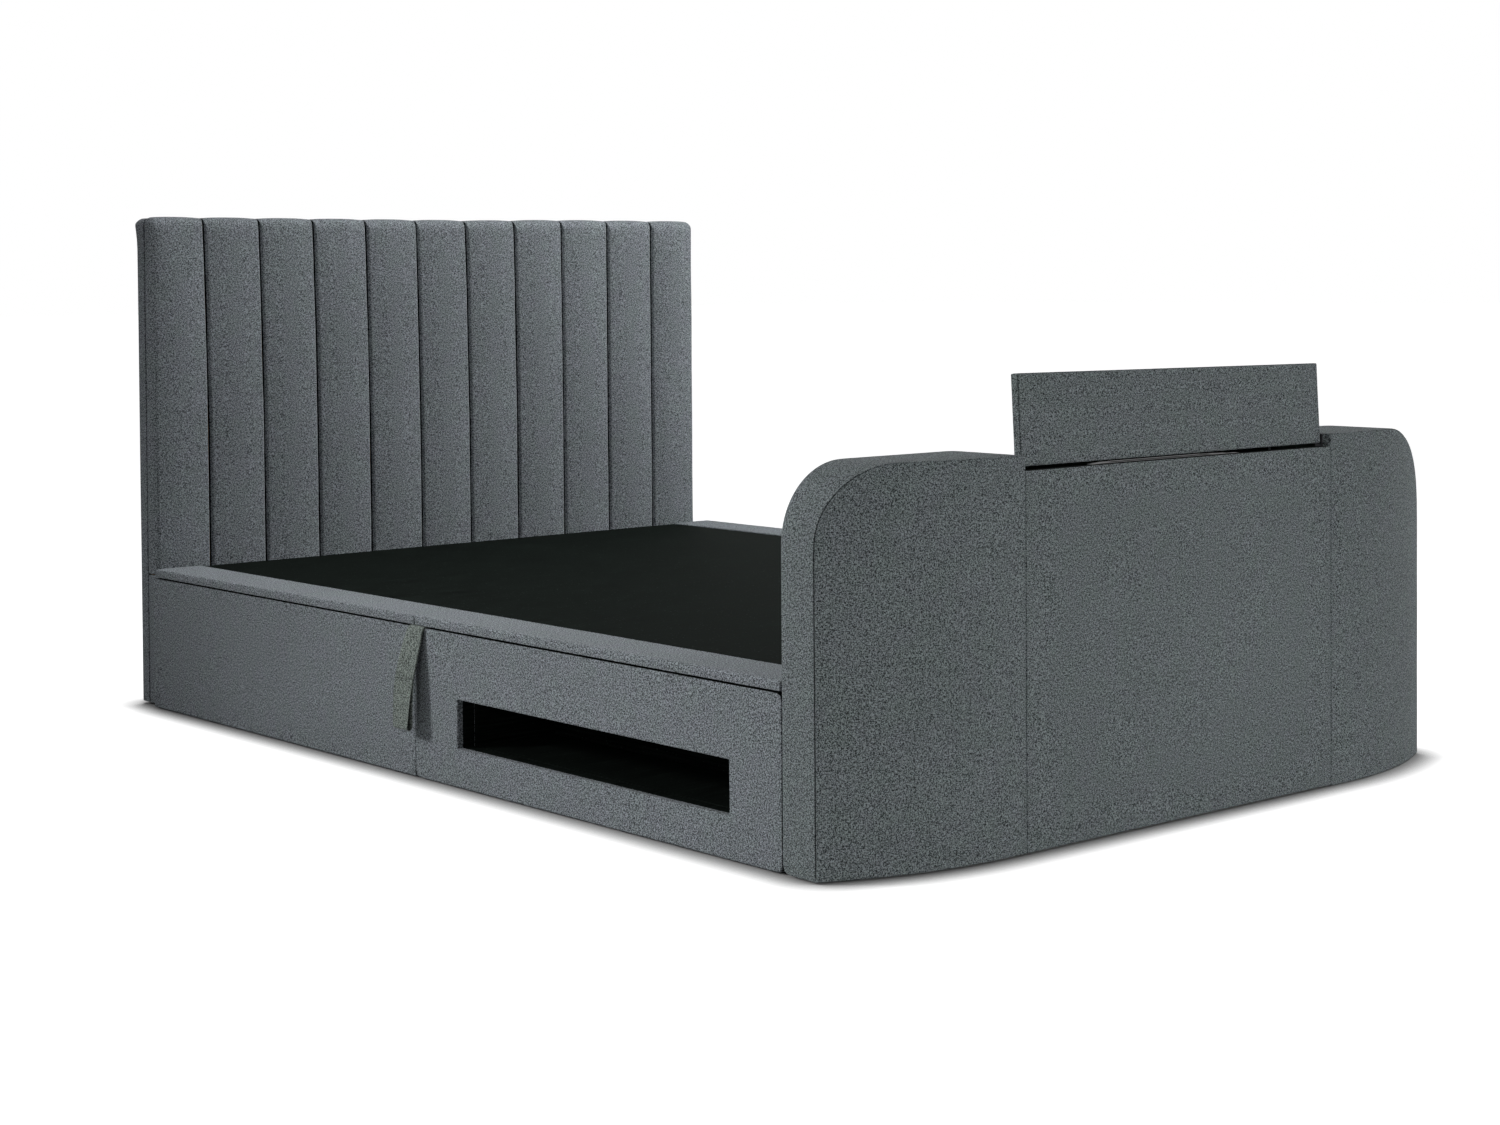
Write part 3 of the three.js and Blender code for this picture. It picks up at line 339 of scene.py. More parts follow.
def webbing_material(name, base):
    """Flat woven tape: ribs across its width, a fine twill and one line of stitches"""
    s = new_material(name, Sheen_Weight=0.04, Sheen_Roughness=0.45, Specular_IOR_Level=0.06)
    x, y, z = s.parts(s.point())
    rib = s.sum("SINE", s.times(z, math.tau / 0.0016))
    twill = s.sum("SINE", s.times(s.sum("ADD", y, z), math.tau / 0.0024))
    fleck = s.noise(s.point(), 480.0, 1.0)
    colour = s.shades(fleck, base, (0.4, 0.35), (0.5, 1.0), (0.6, 1.9))
    from_stitch = s.sum("ABSOLUTE", s.sum("SUBTRACT", z, STITCH_HEIGHT))
    shade = s.span(from_stitch, 0.0006, 0.0014, 0.55, 1.0)
    colour = s.mix(1.0, colour, s.vector(shade, shade, shade), "MULTIPLY")
    height = s.weigh(rib, 0.5, twill, 0.4)
    return s.done(colour, s.span(fleck, 0.3, 0.7, 0.8, 0.95), height, 0.5, 0.0004)


def wood_material(name, base, dark):
    """Sawn softwood or board: stretched grain, pores and a slight sheen"""
    s = new_material(name, Specular_IOR_Level=0.35)
    stretched = s.stretched(4.0, 38.0, 60.0)
    grain = s.noise(stretched, 1.0, 5.0, 0.6)
    pore = s.noise(stretched, 9.0, 2.0)
    tone = s.weigh(grain, 0.8, pore, 0.2)
    colour = s.ramp(tone, [(0.36, dark), (0.56, base), (0.7, scaled(base, 1.12))])
    return s.done(colour, s.span(grain, 0.3, 0.7, 0.62, 0.8), tone, 0.3, 0.0006)


def painted_steel_material(name, base):
    """Powder-coated steel: fine orange peel, with paler rubbed edges"""
    s = new_material(name, Metallic=0.0, Specular_IOR_Level=0.12)
    peel = s.noise(s.point(), 900.0, 2.0)
    scuff = s.noise(s.point(), 60.0, 4.0, 0.65)
    edge = s.span(s.node("NewGeometry", output="Pointiness"), 0.53, 0.62)
    worn = s.times(edge, s.span(scuff, 0.45, 0.6))
    colour = s.mix(worn, s.shades(scuff, base, (0.3, 0.8), (0.7, 1.25)), (0.06, 0.06, 0.062, 1))
    return s.done(colour, s.span(scuff, 0.3, 0.7, 0.42, 0.58), peel, 0.25, 0.0003)


def zinc_material(name, base, roughness):
    """Zinc-plated or ground steel: soft spangle and faint drawn lines"""
    s = new_material(name, Metallic=1.0)
    spangle = s.node("TexVoronoi", {"Vector": s.point(), "Scale": 220.0}, output="Color")
    lines = s.noise(s.stretched(60.0, 60.0, 900.0))
    tone = s.weigh(s.parts(spangle)[0], 0.3, lines, 0.7)
    gloss = s.span(tone, 0.2, 0.8, roughness * 0.8, roughness * 1.25)
    return s.done(s.shades(tone, base, (0.25, 0.82), (0.7, 1.08)), gloss, lines, 0.12, 0.0002)


def plastic_material(name, base):
    """Moulded plastic with a fine spark-eroded grain"""
    s = new_material(name, Specular_IOR_Level=0.45)
    grain = s.noise(s.point(), 1300.0, 1.0)
    haze = s.noise(s.point(), 40.0, 3.0)
    colour = s.shades(haze, base, (0.3, 0.85), (0.7, 1.2))
    return s.done(colour, s.span(haze, 0.3, 0.7, 0.42, 0.58), grain, 0.25, 0.0002)


RECIPES = {
    "headboard_fabric": (woven_material, linear(106, 111, 114), 0.74, 450.0),
    "rail_fabric": (woven_material, linear(106, 111, 114), 0.80, 460.0),
    # footboard_fabric is the same cloth as the rest with a darker base: painted shade for the footboard's front
    "footboard_fabric": (woven_material, linear(99, 105, 106), 0.86, 560.0),
    "rim_fabric": (woven_material, linear(106, 111, 114), 0.80, 460.0),
    "black_fabric": (black_cloth_material, linear(13, 17, 15), 0.85),
    "webbing": (webbing_material, linear(101, 108, 104)),
    "board": (wood_material, (0.42, 0.27, 0.14), (0.28, 0.16, 0.075)),
    "frame_timber": (wood_material, (0.5, 0.34, 0.19), (0.36, 0.22, 0.11)),
    "black_steel": (painted_steel_material, (0.022, 0.023, 0.026)),
    "zinc_steel": (zinc_material, (0.62, 0.63, 0.63), 0.34),
    "strut_rod_steel": (zinc_material, (0.72, 0.73, 0.74), 0.14),
    "black_plastic": (plastic_material, (0.022, 0.022, 0.024)),
}
MATERIALS = {name: make(name, *values) for name, (make, *values) in RECIPES.items()}


# Meshes


def mesh_object(name, points, faces):
    mesh = bpy.data.meshes.new(name)
    mesh.from_pydata(points, [], faces)
    shaped = bmesh.new()
    shaped.from_mesh(mesh)
    bmesh.ops.recalc_face_normals(shaped, faces=shaped.faces)
    shaped.to_mesh(mesh)
    shaped.free()
    mesh.shade_smooth()
    made = bpy.data.objects.new(name, mesh)
    bpy.context.scene.collection.objects.link(made)
    return made


def finish_piece(piece, node, body="root", levels=1):
    """Gives a piece its node's slot and material and a smooth form, and lets it stand for the node"""
    slot = SLOT_OF[node]
    piece.data.materials.append(MATERIALS[slot])
    if levels:
        smooth = piece.modifiers.new("smooth", "SUBSURF")
        smooth.levels = smooth.render_levels = levels
    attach(piece, body)
    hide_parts(node)


def bevel_edges(piece, width, segments, degrees):
    bevel = piece.modifiers.new("edges", "BEVEL")
    bevel.width = width
    bevel.segments = segments
    bevel.limit_method = "ANGLE"
    bevel.angle_limit = math.radians(degrees)


def paint_shade_faces(piece, chosen=None, numbers=()):
    """Gives black cloth to chosen faces in gaps and grooves, as painted shade: picked by centre and normal, or by
    number
    """
    piece.data.materials.append(MATERIALS["black_fabric"])
    for face in piece.data.polygons:
        if face.index in numbers or chosen and chosen(face.center, face.normal):
            face.material_index = 1


def upholster(slab, name, node, body="root", pick_painted_shade=None):
    """Makes a slab the padded cover of a node; the chosen faces and its seam groove get black cloth as painted
    shade
    """
    piece = slab.build(name)
    finish_piece(piece, node, body)
    if pick_painted_shade or slab.seam:
        paint_shade_faces(piece, pick_painted_shade)


def weld(piece):
    """Joins points that fall together"""
    shaped = bmesh.new()
    shaped.from_mesh(piece.data)
    bmesh.ops.remove_doubles(shaped, verts=shaped.verts, dist=1e-6)
    shaped.to_mesh(piece.data)
    shaped.free()


def even(cells):
    return [step / cells for step in range(cells + 1)]


def spread(start, stop, cells):
    """Even places from start to stop, without the start"""
    places = [start + (stop - start) * step / cells for step in range(1, cells)]
    return places + [stop]


def arc(centre, radius, start, stop, steps):
    """Points on an arc, its ends included, angles in degrees"""
    places = []
    for step in range(steps + 1):
        angle = math.radians(start + (stop - start) * step / steps)
        places.append((centre[0] + radius * math.cos(angle), centre[1] + radius * math.sin(angle)))
    return places


def outline_grid(rect, radii, arcs, shares):
    """A grid of points over a rectangle with rounded corners, in columns across and rows up"""
    a0, a1, b0, b1 = rect
    r0, r1, r2, r3 = radii
    centres = ((a0 + r0, b0 + r0), (a1 - r1, b0 + r1), (a1 - r2, b1 - r2), (a0 + r3, b1 - r3))

    def side(first, second, start, turn, shares, steps):
        """Half of the first corner's arc, a straight run and half of the second's arc"""
        head = arc(centres[first], radii[first], start, start + turn, arcs[first])
        tail = arc(centres[second], radii[second], start + turn, start + 2 * turn, arcs[second])
        (x0, y0), (x1, y1) = head[-1], tail[0]
        cells = steps - arcs[first] - arcs[second]
        cuts = shares if cells == len(shares) - 1 else even(cells)
        return head + [(x0 + (x1 - x0) * share, y0 + (y1 - y0) * share) for share in cuts[1:-1]] + tail

    across, up = shares
    wide = len(across) - 1 + max(arcs[0] + arcs[1], arcs[3] + arcs[2])
    tall = len(up) - 1 + max(arcs[0] + arcs[3], arcs[1] + arcs[2])
    bottom, top = side(0, 1, 225, 45, across, wide), side(3, 2, 135, -45, across, wide)
    left, right = side(0, 3, 225, -45, up, tall), side(1, 2, -45, 45, up, tall)
    columns, rows = len(bottom), len(left)

    def between(i, j, k):
        """One coordinate of a grid point, blended from the four sides"""
        u, v = i / (columns - 1), j / (rows - 1)
        edges = (1 - v) * bottom[i][k] + v * top[i][k] + (1 - u) * left[j][k] + u * right[j][k]
        ends = (1 - v) * ((1 - u) * bottom[0][k] + u * bottom[-1][k])
        ends += v * ((1 - u) * top[0][k] + u * top[-1][k])
        return edges - ends

    return [[(between(i, j, 0), between(i, j, 1)) for j in range(rows)] for i in range(columns)]


def boundary(i_from, i_to, j_from, j_to):
    """Places round a block of a grid, anticlockwise from its lower left"""
    loop = [(i, j_from) for i in range(i_from, i_to)]
    loop += [(i_to, j) for j in range(j_from, j_to)]
    loop += [(i, j_to) for i in range(i_to, i_from, -1)]
    return loop + [(i_from, j) for j in range(j_to, j_from, -1)]


class Slab:
    """A closed upholstered form: a front and a back over one outline, with rounded edges.
    rect is left, right, bottom and top; radii and arcs go round its corners from the lower left.
    place(a, b, depth) puts an outline point in the room; front and back give depths over the outline.
    edges holds how far each side's rounding reaches inwards and back.
    seam is the depth of a groove in the rounding of seam_sides, whose faces get black cloth as painted shade;
    lip_sides reach lip_depth further back and turn in by lip."""

    radii, arcs = (0.001,) * 4, (1,) * 4
    back_edge = 0.002
    middle = 3
    seam, seam_sides = 0.0, ()
    lip, lip_depth, lip_sides = 0.0, 0.0, ()

    def __init__(self, rect, front, back, place, cells, edge=PANEL_ROUND):
        self.rect, self.front, self.back, self.place = rect, front, back, place
        self.shares = (even(cells[0]), even(cells[1]))
        self.edges = dict.fromkeys(SIDES, (edge, edge))

    def round_sides(self, **reaches):
        for side, reach in reaches.items():
            self.edges[side] = (reach, reach)

    def grid(self, share, flat=0.0):
        """The outline drawn in by a share of each side's rounding, or by one flat amount"""
        a0, a1, b0, b1 = self.rect
        left, right, bottom, top = (share * self.edges[side][0] + flat for side in SIDES)
        rect = (a0 + left, a1 - right, b0 + bottom, b1 - top)
        insets = ((left + bottom) / 2, (right + bottom) / 2, (right + top) / 2, (left + top) / 2)
        radii = tuple(max(radius - inset, SMALLEST_RADIUS) for radius, inset in zip(self.radii, insets))
        return outline_grid(rect, radii, self.arcs, self.shares)

    def ring(self, loop, share, flat=0.0):
        """The grid's points that lie on its boundary"""
        grid = self.grid(share, flat)
        return [grid[i][j] for i, j in loop]

    def placed(self, edge, depths):
        return [self.place(a, b, depth) for (a, b), depth in zip(edge, depths)]

    def distances(self, a, b):
        a0, a1, b0, b1 = self.rect
        return dict(zip(SIDES, (a - a0, a1 - a, b - b0, b1 - b)))

    def fall(self, a, b):
        """How deep the rounding goes at an outline point: a blend of the sides it lies near"""
        far = self.distances(a, b)
        weights = {side: 1 / (SIDE_BLEND + max(0.0, far[side])) ** 2 for side in SIDES}
        total = sum(weights.values())
        return sum(self.edges[side][1] * weight for side, weight in weights.items()) / total

    def side_at(self, a, b, sides):
        """1 where an outline point lies on one of the given sides, 0 elsewhere"""
        far = self.distances(a, b)
        nearest = min(far, key=far.get)
        return 1.0 if nearest in sides or self.on_corner(a, b) and set(sides) & {"top", "right"} else 0.0

    def on_corner(self, a, b):
        """True on the arc of a big upper right corner"""
        a1, b1, radius = self.rect[1], self.rect[3], self.radii[2]
        return radius > 0.01 and a > a1 - radius and b > b1 - radius

    def grooved(self, a, b, depth, groove, rim):
        """A point of the rounding, drawn inwards where the seam runs"""
        if groove and self.side_at(*rim, self.seam_sides):
            a0, a1, b0, b1 = self.rect
            if self.on_corner(*rim):
                centre = Vector((a1 - self.radii[2], b1 - self.radii[2]))
            else:
                near_a = min(max(a, a0 + GROOVE_CORE), a1 - GROOVE_CORE)
                centre = Vector((near_a, min(max(b, b0 + GROOVE_CORE), b1 - GROOVE_CORE)))
            inward = (centre - Vector((a, b))).normalized() * groove
            a, b, depth = a + inward.x, b + inward.y, depth + groove
        return self.place(a, b, depth)

    def rings(self, loop):
        """Rings from the front's edge to the back's, and the number of the seam's last one"""
        rim = self.ring(loop, 0.0)
        falls = [self.fall(a, b) for a, b in rim]
        backs = [self.back(a, b) + self.lip_depth * self.side_at(a, b, self.lip_sides) for a, b in rim]
        shoulders = [self.front(a, b) + fall for (a, b), fall in zip(rim, falls)]
        made, seam_ring = [], None
        for degrees in (14, 30, 40, 50, 60, 76, 90) if self.seam else (15, 30, 45, 60, 75, 90):
            angle = math.radians(degrees)
            groove = self.seam if degrees in (40, 50) else 0.0
            if groove:
                seam_ring = len(made)
            ring = []
            for (a, b), fall, edge in zip(self.ring(loop, 1 - math.sin(angle)), falls, rim):
                depth = self.front(a, b) + fall * (1 - math.cos(angle))
                ring.append(self.grooved(a, b, depth, groove, edge))
            made.append(ring)
        for step in range(1, self.middle):
            share = step / self.middle
            walls = zip(shoulders, backs)
            depths = [start + (stop - self.back_edge - start) * share for start, stop in walls]
            made.append(self.placed(rim, depths))
        for degrees in (90, 45, 0):
            angle = math.radians(degrees)
            edge = self.ring(loop, 0.0, self.back_edge * (1 - math.sin(angle)))
            made.append(self.placed(edge, [back - self.back_edge * (1 - math.cos(angle)) for back in backs]))
        if self.lip:
            made.append(self.placed(self.ring(loop, 0.0, self.lip), backs))
        return made, seam_ring

    def build(self, name):
        inner = self.grid(1.0)
        columns, rows = len(inner), len(inner[0])
        loop = boundary(0, columns - 1, 0, rows - 1)
        points = [self.place(a, b, self.front(a, b)) for column in inner for a, b in column]
        faces = self.patch(0, columns, rows)
        previous = [i * rows + j for i, j in loop]
        dark = []
        rings, seam_ring = self.rings(loop)
        for number, ring in enumerate(rings):
            if number == seam_ring:
                rim = enumerate(self.ring(loop, 0.0))
                dark = [len(faces) + k for k, (a, b) in rim if self.side_at(a, b, self.seam_sides)]
            following = list(range(len(points), len(points) + len(ring)))
            points += ring
            faces += self.bridge(previous, following)
            previous = following
        first = len(points)
        last = self.grid(0.0, self.lip or self.back_edge)
        points += [self.place(a, b, self.back(a, b)) for column in last for a, b in column]
        faces += self.patch(first, columns, rows)
        faces += self.bridge(previous, [first + i * rows + j for i, j in loop])
        made = mesh_object(name, points, faces)
        # The seam groove's faces get black cloth: painted shade in the groove
        for number in dark:
            made.data.polygons[number].material_index = 1
        self.swelling = [i * rows + j for i in range(1, columns - 1) for j in range(1, rows - 1)]
        weld(made)
        return made

    @staticmethod
    def patch(first, columns, rows, hole=(0, 0, 0, 0)):
        faces = []
        for i in range(columns - 1):
            for j in range(rows - 1):
                low = first + i * rows + j
                if not (hole[0] <= i < hole[1] and hole[2] <= j < hole[3]):
                    faces.append((low, low + rows, low + rows + 1, low + 1))
        return faces

    @staticmethod
    def bridge(before, after):
        count = len(before)
        return [(before[k], before[(k + 1) % count], after[(k + 1) % count], after[k]) for k in range(count)]


def soft(a, b, seed, amount=RIPPLE, size=0.11):
    """Slight unevenness of foam under stretched cloth"""
    return amount * noise.noise(Vector((a / size, b / size, seed)))


def crown(a, b, rect, power):
    """1 in the middle of a panel, 0 at its sides"""
    a0, a1, b0, b1 = rect
    share_a = 2 * (a - a0) / (a1 - a0) - 1
    share_b = 2 * (b - b0) / (b1 - b0) - 1
    return (1 - abs(share_a) ** power) * (1 - abs(share_b) ** power)


def near(distance, reach):
    """1 at a place, 0 from the given reach on"""
    return max(0.0, 1 - distance / reach)


def rising(value, start, run):
    """0 up to the start, 1 from one run further on"""
    return max(0.0, min(1.0, (value - start) / run))


# Headboard


def seated(x):
    """The headboard sits a little towards the bed's left and is tucked in at its right end"""
    tucked = HEADBOARD_TUCK * max(0.0, x - HEADBOARD_TUCK_FROM) / HEADBOARD_TUCK_RUN
    return x * HEADBOARD_SQUEEZE - HEADBOARD_SHIFT - tucked


def stitched(x, share_up):
    """The hand-sewn seams drift to the left as they rise, most on the bed's left side"""
    drift = SEAM_DRIFT * max(0.0, share_up) ** 2.5
    return seated(x) - drift * rising(x, *SEAM_DRIFT_LEFT) * rising(-x, *SEAM_DRIFT_RIGHT)


def channel_slab(node, index):
    low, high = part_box(node)
    middle, half = (low.x + high.x) / 2, (high.x - low.x) / 2
    top = high.z
    base = high.y - CHANNEL_DEPTH
    first, last = index == 1, index == CHANNEL_COUNT

    def front(a, b):
        share = min(1.0, abs(a - middle) / half)
        return base - CHANNEL_CROWN * (1 - share**2.2) + soft(a, b, index)

    def place(a, b, depth):
        share = min(1.0, abs(a - middle) / half)
        near_top = near(top - b, CHANNEL_TOP_ZONE)
        pucker = CHANNEL_PUCKER * noise.noise(Vector((index * 9.1, b / 0.014, 0.0))) * share**6
        wander = CHANNEL_WANDER * noise.noise(Vector((index * 3.7, b / 0.17, 5.0))) * share**2
        x = stitched(a + wander, (b - low.z) / (top - low.z))
        rise = HEADBOARD_RISE * rising(a, HEADBOARD_RISE_FROM, HEADBOARD_RISE_RUN) * near_top
        return (x, depth + pucker, b + CHANNEL_LIFT + rise - CHANNEL_SCALLOP * share**2.5 * near_top)

    rect = (low.x + CHANNEL_GAP * (not first), high.x - CHANNEL_GAP * (not last), low.z, high.z)
    slab = Slab(rect, front, lambda a, b: high.y - BACK_GAP, place, (14, 60))
    slab.edges.update(left=CHANNEL_VALLEY, right=CHANNEL_VALLEY, top=CHANNEL_TOP_ROLL)
    slab.round_sides(bottom=HEM_ROUND)
    slab.lip, slab.lip_depth, slab.lip_sides = LIP, LIP_TO_BAND, ("top",)
    slab.back_edge, slab.middle = 0.0012, 2
    if first or last:
        end, corner = ("left", 3) if first else ("right", 2)
        slab.edges[end] = CHANNEL_END_ROLL
        slab.lip_sides = ("top", end)
        slab.radii = tuple(HEADBOARD_CORNER if k == corner else 0.001 for k in range(4))
        slab.arcs = tuple(4 if k == corner else 1 for k in range(4))
    return slab


def valley_shade_sides(index):
    """Picks the deep sides of a pad that face its neighbours, for black cloth as painted shade in the valleys"""
    open_left, open_right = index == 1, index == CHANNEL_COUNT

    def chosen(centre, normal):
        return normal.x < -FACING and not open_left or normal.x > FACING and not open_right

    return chosen


def build_channels():
    made = []
    for index in range(1, CHANNEL_COUNT + 1):
        node = f"headboard_channel_{index:02d}"
        slab = channel_slab(node, index)
        piece = slab.build(f"channel_pad_{index:02d}")
        made.append((piece, slab.swelling))
        finish_piece(piece, node)
        # The valleys between the pads get black cloth as painted shade
        paint_shade_faces(piece, valley_shade_sides(index))
    return made


def build_headboard_shell():
    """The shell covers the back and a narrow band round the edge; a seam parts it from the pads"""
    node = "headboard_back_shell"
    low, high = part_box(node)
    top = high.z - SHELL_DROP
    rect = (low.x - 0.002, high.x, low.z, top)

    def front(a, b):
        return 0.001 - SHELL_PUFF + soft(a, b, 31, 0.0008, 0.2)

    def place(a, b, depth):
        fold = SHELL_FOLD * math.exp(-(((top - 0.014 - b) / 0.010) ** 2)) if a < 0 else 0.0
        outward = max(0.0, (abs(a) - high.x + 0.02) / 0.02)
        return (seated(a - fold * outward), high.y - depth, b)

    slab = Slab(rect, front, lambda a, b: SHELL_BACK, place, (48, 32))
    slab.radii, slab.arcs = (0.002, 0.002, HEADBOARD_CORNER, HEADBOARD_CORNER), (1, 1, 4, 4)
    slab.lip, slab.lip_depth, slab.lip_sides = LIP, HEADBOARD_BAND - SHELL_BACK, SIDES
    slab.back_edge, slab.middle = 0.0016, 4
    upholster(slab, "headboard_shell", node)


def build_headboard_lower_cover():
    node = "headboard_lower_panel"
    low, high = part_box(node)
    rect = (low.x, high.x, low.z, high.z)
    front, back = (lambda a, b: low.y + 0.001), (lambda a, b: high.y - BACK_GAP)
    slab = Slab(rect, front, back, lambda a, b, depth: (seated(a), depth, b), (40, 10), 0.005)
    slab.lip, slab.lip_depth, slab.lip_sides = LIP, LIP_TO_BAND, ("left", "right", "bottom")
    slab.back_edge = 0.0006
    upholster(slab, "headboard_lower_cover", node)


# Rails


def rail_shaded_gaps(low, high):
    """Picks a rail's top, which the rim covers, and its foot end, for black cloth as painted shade in the gaps
    there
    """

    def chosen(centre, normal):
        on_top = centre.z > high.z - 0.004 and normal.z > FACING_CLOSELY
        return on_top or centre.y < low.y + 0.01 and normal.y < -FACING

    return chosen


def build_plain_rail(side_name, half, side):
    node = f"side_rail_{side_name}_{half}"
    low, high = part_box(node)
    outer = max(abs(low.x), abs(high.x))
    seed = {"foot": 3, "head": 5}[half] + side
    whole = (low.y, high.y, low.z, high.z)

    def front(a, b):
        return 0.0012 - 0.001 * crown(a, b, whole, 6) + soft(a, b, seed)

    def place(a, b, depth):
        bevel = near(depth, HINGE_BEVEL_WIDTH) * near(high.z - b, 0.02) if side > 0 else 0.0
        return (side * (outer - depth), a, b - HINGE_BEVEL_HEIGHT * bevel)

    foot_gap = RAIL_END_GAP if half == "foot" else RAIL_JOINT_GAP
    rect = (low.y + foot_gap, high.y - RAIL_JOINT_GAP, low.z - HEM_DROP, high.z)
    slab = Slab(rect, front, lambda a, b: RAIL_THICKNESS, place, (44, 14))
    slab.round_sides(left=RAIL_END_ROUND, right=RAIL_END_ROUND, bottom=HEM_ROUND, top=RAIL_TOP_ROUND)
    upholster(slab, f"rail_cover_{side_name}_{half}", node, pick_painted_shade=rail_shaded_gaps(low, high))


def build_slotted_rail():
    """The left rail's foot half: one closed form with the media slot cut through and its cloth turned in"""
    node = "side_rail_left_foot"
    low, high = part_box(node)
    cuts_a = (low.y + SLOT_FROM_FOOT - SLOT_REVEAL, high.y - SLOT_FROM_JOINT + SLOT_REVEAL)
    cuts_b = (SLOT_BOTTOM - SLOT_REVEAL, SLOT_TOP + SLOT_REVEAL)

    def lines(start, stop, cuts, counts):
        made = [start] + spread(start, cuts[0] - SLOT_HOLD, counts[0]) + [cuts[0], cuts[0] + SLOT_HOLD]
        made += spread(cuts[0] + SLOT_HOLD, cuts[1] - SLOT_HOLD, counts[1]) + [cuts[1], cuts[1] + SLOT_HOLD]
        return made + spread(cuts[1] + SLOT_HOLD, stop, counts[2])

    foot, head = low.y + RAIL_END_GAP + RAIL_END_ROUND, high.y - RAIL_JOINT_GAP - RAIL_END_ROUND
    a_lines = lines(foot, head, cuts_a, (7, 30, 8))
    b_lines = lines(low.z - HEM_DROP + HEM_ROUND, high.z - RAIL_TOP_ROUND, cuts_b, (4, 4, 6))
    slot = [a_lines.index(cut) for cut in cuts_a] + [b_lines.index(cut) for cut in cuts_b]
    columns, rows = len(a_lines), len(b_lines)
    points, faces, lining_and_shade = [], [], set()

    def front(a, b):
        return 0.0008 + soft(a, b, 11)

    def patch(depth=None):
        first = len(points)
        for a in a_lines:
            points.extend((low.x + (depth or front(a, b)), a, b) for b in b_lines)
        faces.extend(Slab.patch(first, columns, rows, slot))
        return first

    def wall(bounds, reach, first, last, lined_and_shaded_from):
        """Rounds one boundary from the front patch to the back patch; reach is left, right, bottom, top"""
        i_from, i_to, j_from, j_to = bounds
        loop = boundary(*bounds)
        previous = [first + i * rows + j for i, j in loop]
        turns = (math.pi / 8, math.pi / 4, 3 * math.pi / 8, math.pi / 2)
        steps = [(math.sin(turn), 1 - math.cos(turn), 0.0) for turn in turns]
        steps += [(1.0, 1.0, share) for share in (0.3, 0.34, 0.6, 1.0)]
        for out, deep, share in steps:
            ring = []
            for i, j in loop:
                on = (i == i_from, i == i_to, j == j_from, j == j_to)
                left, right, bottom, top = (amount * here for amount, here in zip(reach, on))
                size = max(abs(left), abs(right), abs(bottom), abs(top))
                depth = front(a_lines[i], b_lines[j]) + size * deep
                depth += (RAIL_THICKNESS - depth) * share
                ring.append(len(points))
                a, b = a_lines[i] + (right - left) * out, b_lines[j] + (top - bottom) * out
                points.append((low.x + depth, a, b))
            # Faces of the slot's wall past the given share get black cloth: the slot's lining and painted shade
            # inside it
            if share > lined_and_shaded_from:
                lining_and_shade.update(range(len(faces), len(faces) + len(loop)))
            faces.extend(Slab.bridge(previous, ring))
            previous = ring
        faces.extend(Slab.bridge(previous, [last + i * rows + j for i, j in loop]))

    first, last = patch(), patch(RAIL_THICKNESS)
    outer_reach = (RAIL_END_ROUND, RAIL_END_ROUND, HEM_ROUND, RAIL_TOP_ROUND)
    wall((0, columns - 1, 0, rows - 1), outer_reach, first, last, 2.0)
    wall(slot, (-SLOT_REVEAL,) * 4, first, last, 0.32)
    piece = mesh_object("rail_cover_left_foot", points, faces)
    finish_piece(piece, node)
    paint_shade_faces(piece, rail_shaded_gaps(low, high), lining_and_shade)


# Footboard


def wing_front(x, side):
    """The bow front in plan: flat beside the bay, then an arc back to the end's depth"""
    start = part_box("footboard_wing_left")[0]
    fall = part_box("footboard_rear_panel")[1].y - start.y - END_DEPTH[side]
    run = -start.x - ARC_START
    radius = (run * run + fall * fall) / (2 * fall)
    along = max(0.0, min(x, -start.x) - ARC_START)
    return start.y + radius - math.sqrt(radius * radius - along * along)


def build_wing(side_name, side):
    node = f"footboard_wing_{side_name}"
    low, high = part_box(node)
    outer = max(abs(low.x), abs(high.x))
    whole = (BAY_HALF, outer, low.z, high.z)

    def front(a, b):
        return wing_front(a, side) + 0.001 - PANEL_PUFF * crown(a, b, whole, 5) + soft(a, b, 17 + side)

    def place(a, b, depth):
        return (side * a, depth, b)

    # The wing's side that faces the bay gets black cloth as painted shade in the bay
    def bay_side_shade(centre, normal):
        return normal.x * side < -FACING_CLOSELY and centre.y > low.y + 0.03

    rect = (BAY_HALF + SEAM_GAP, outer, low.z - WING_HEM_DROP[side], high.z + SHOULDER_RISE[side])
    slab = Slab(rect, front, lambda a, b: high.y, place, (12, 26), WING_EDGE)
    slab.radii, slab.arcs = (0.001, 0.003, SHOULDER_RADIUS[side], 0.003), (1, 1, 7, 1)
    slab.round_sides(left=SEAM_ROUND, bottom=HEM_ROUND)
    # The seam groove on the end and shoulder gets black cloth as painted shade
    slab.seam, slab.seam_sides = SEAM_GROOVE, ("right", "top")
    slab.lip, slab.lip_sides = WING_LIP, ("right", "top")
    slab.lip_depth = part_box("footboard_rear_panel")[1].y - high.y
    slab.middle = 5
    upholster(slab, f"wing_cover_{side_name}", node, pick_painted_shade=bay_side_shade)


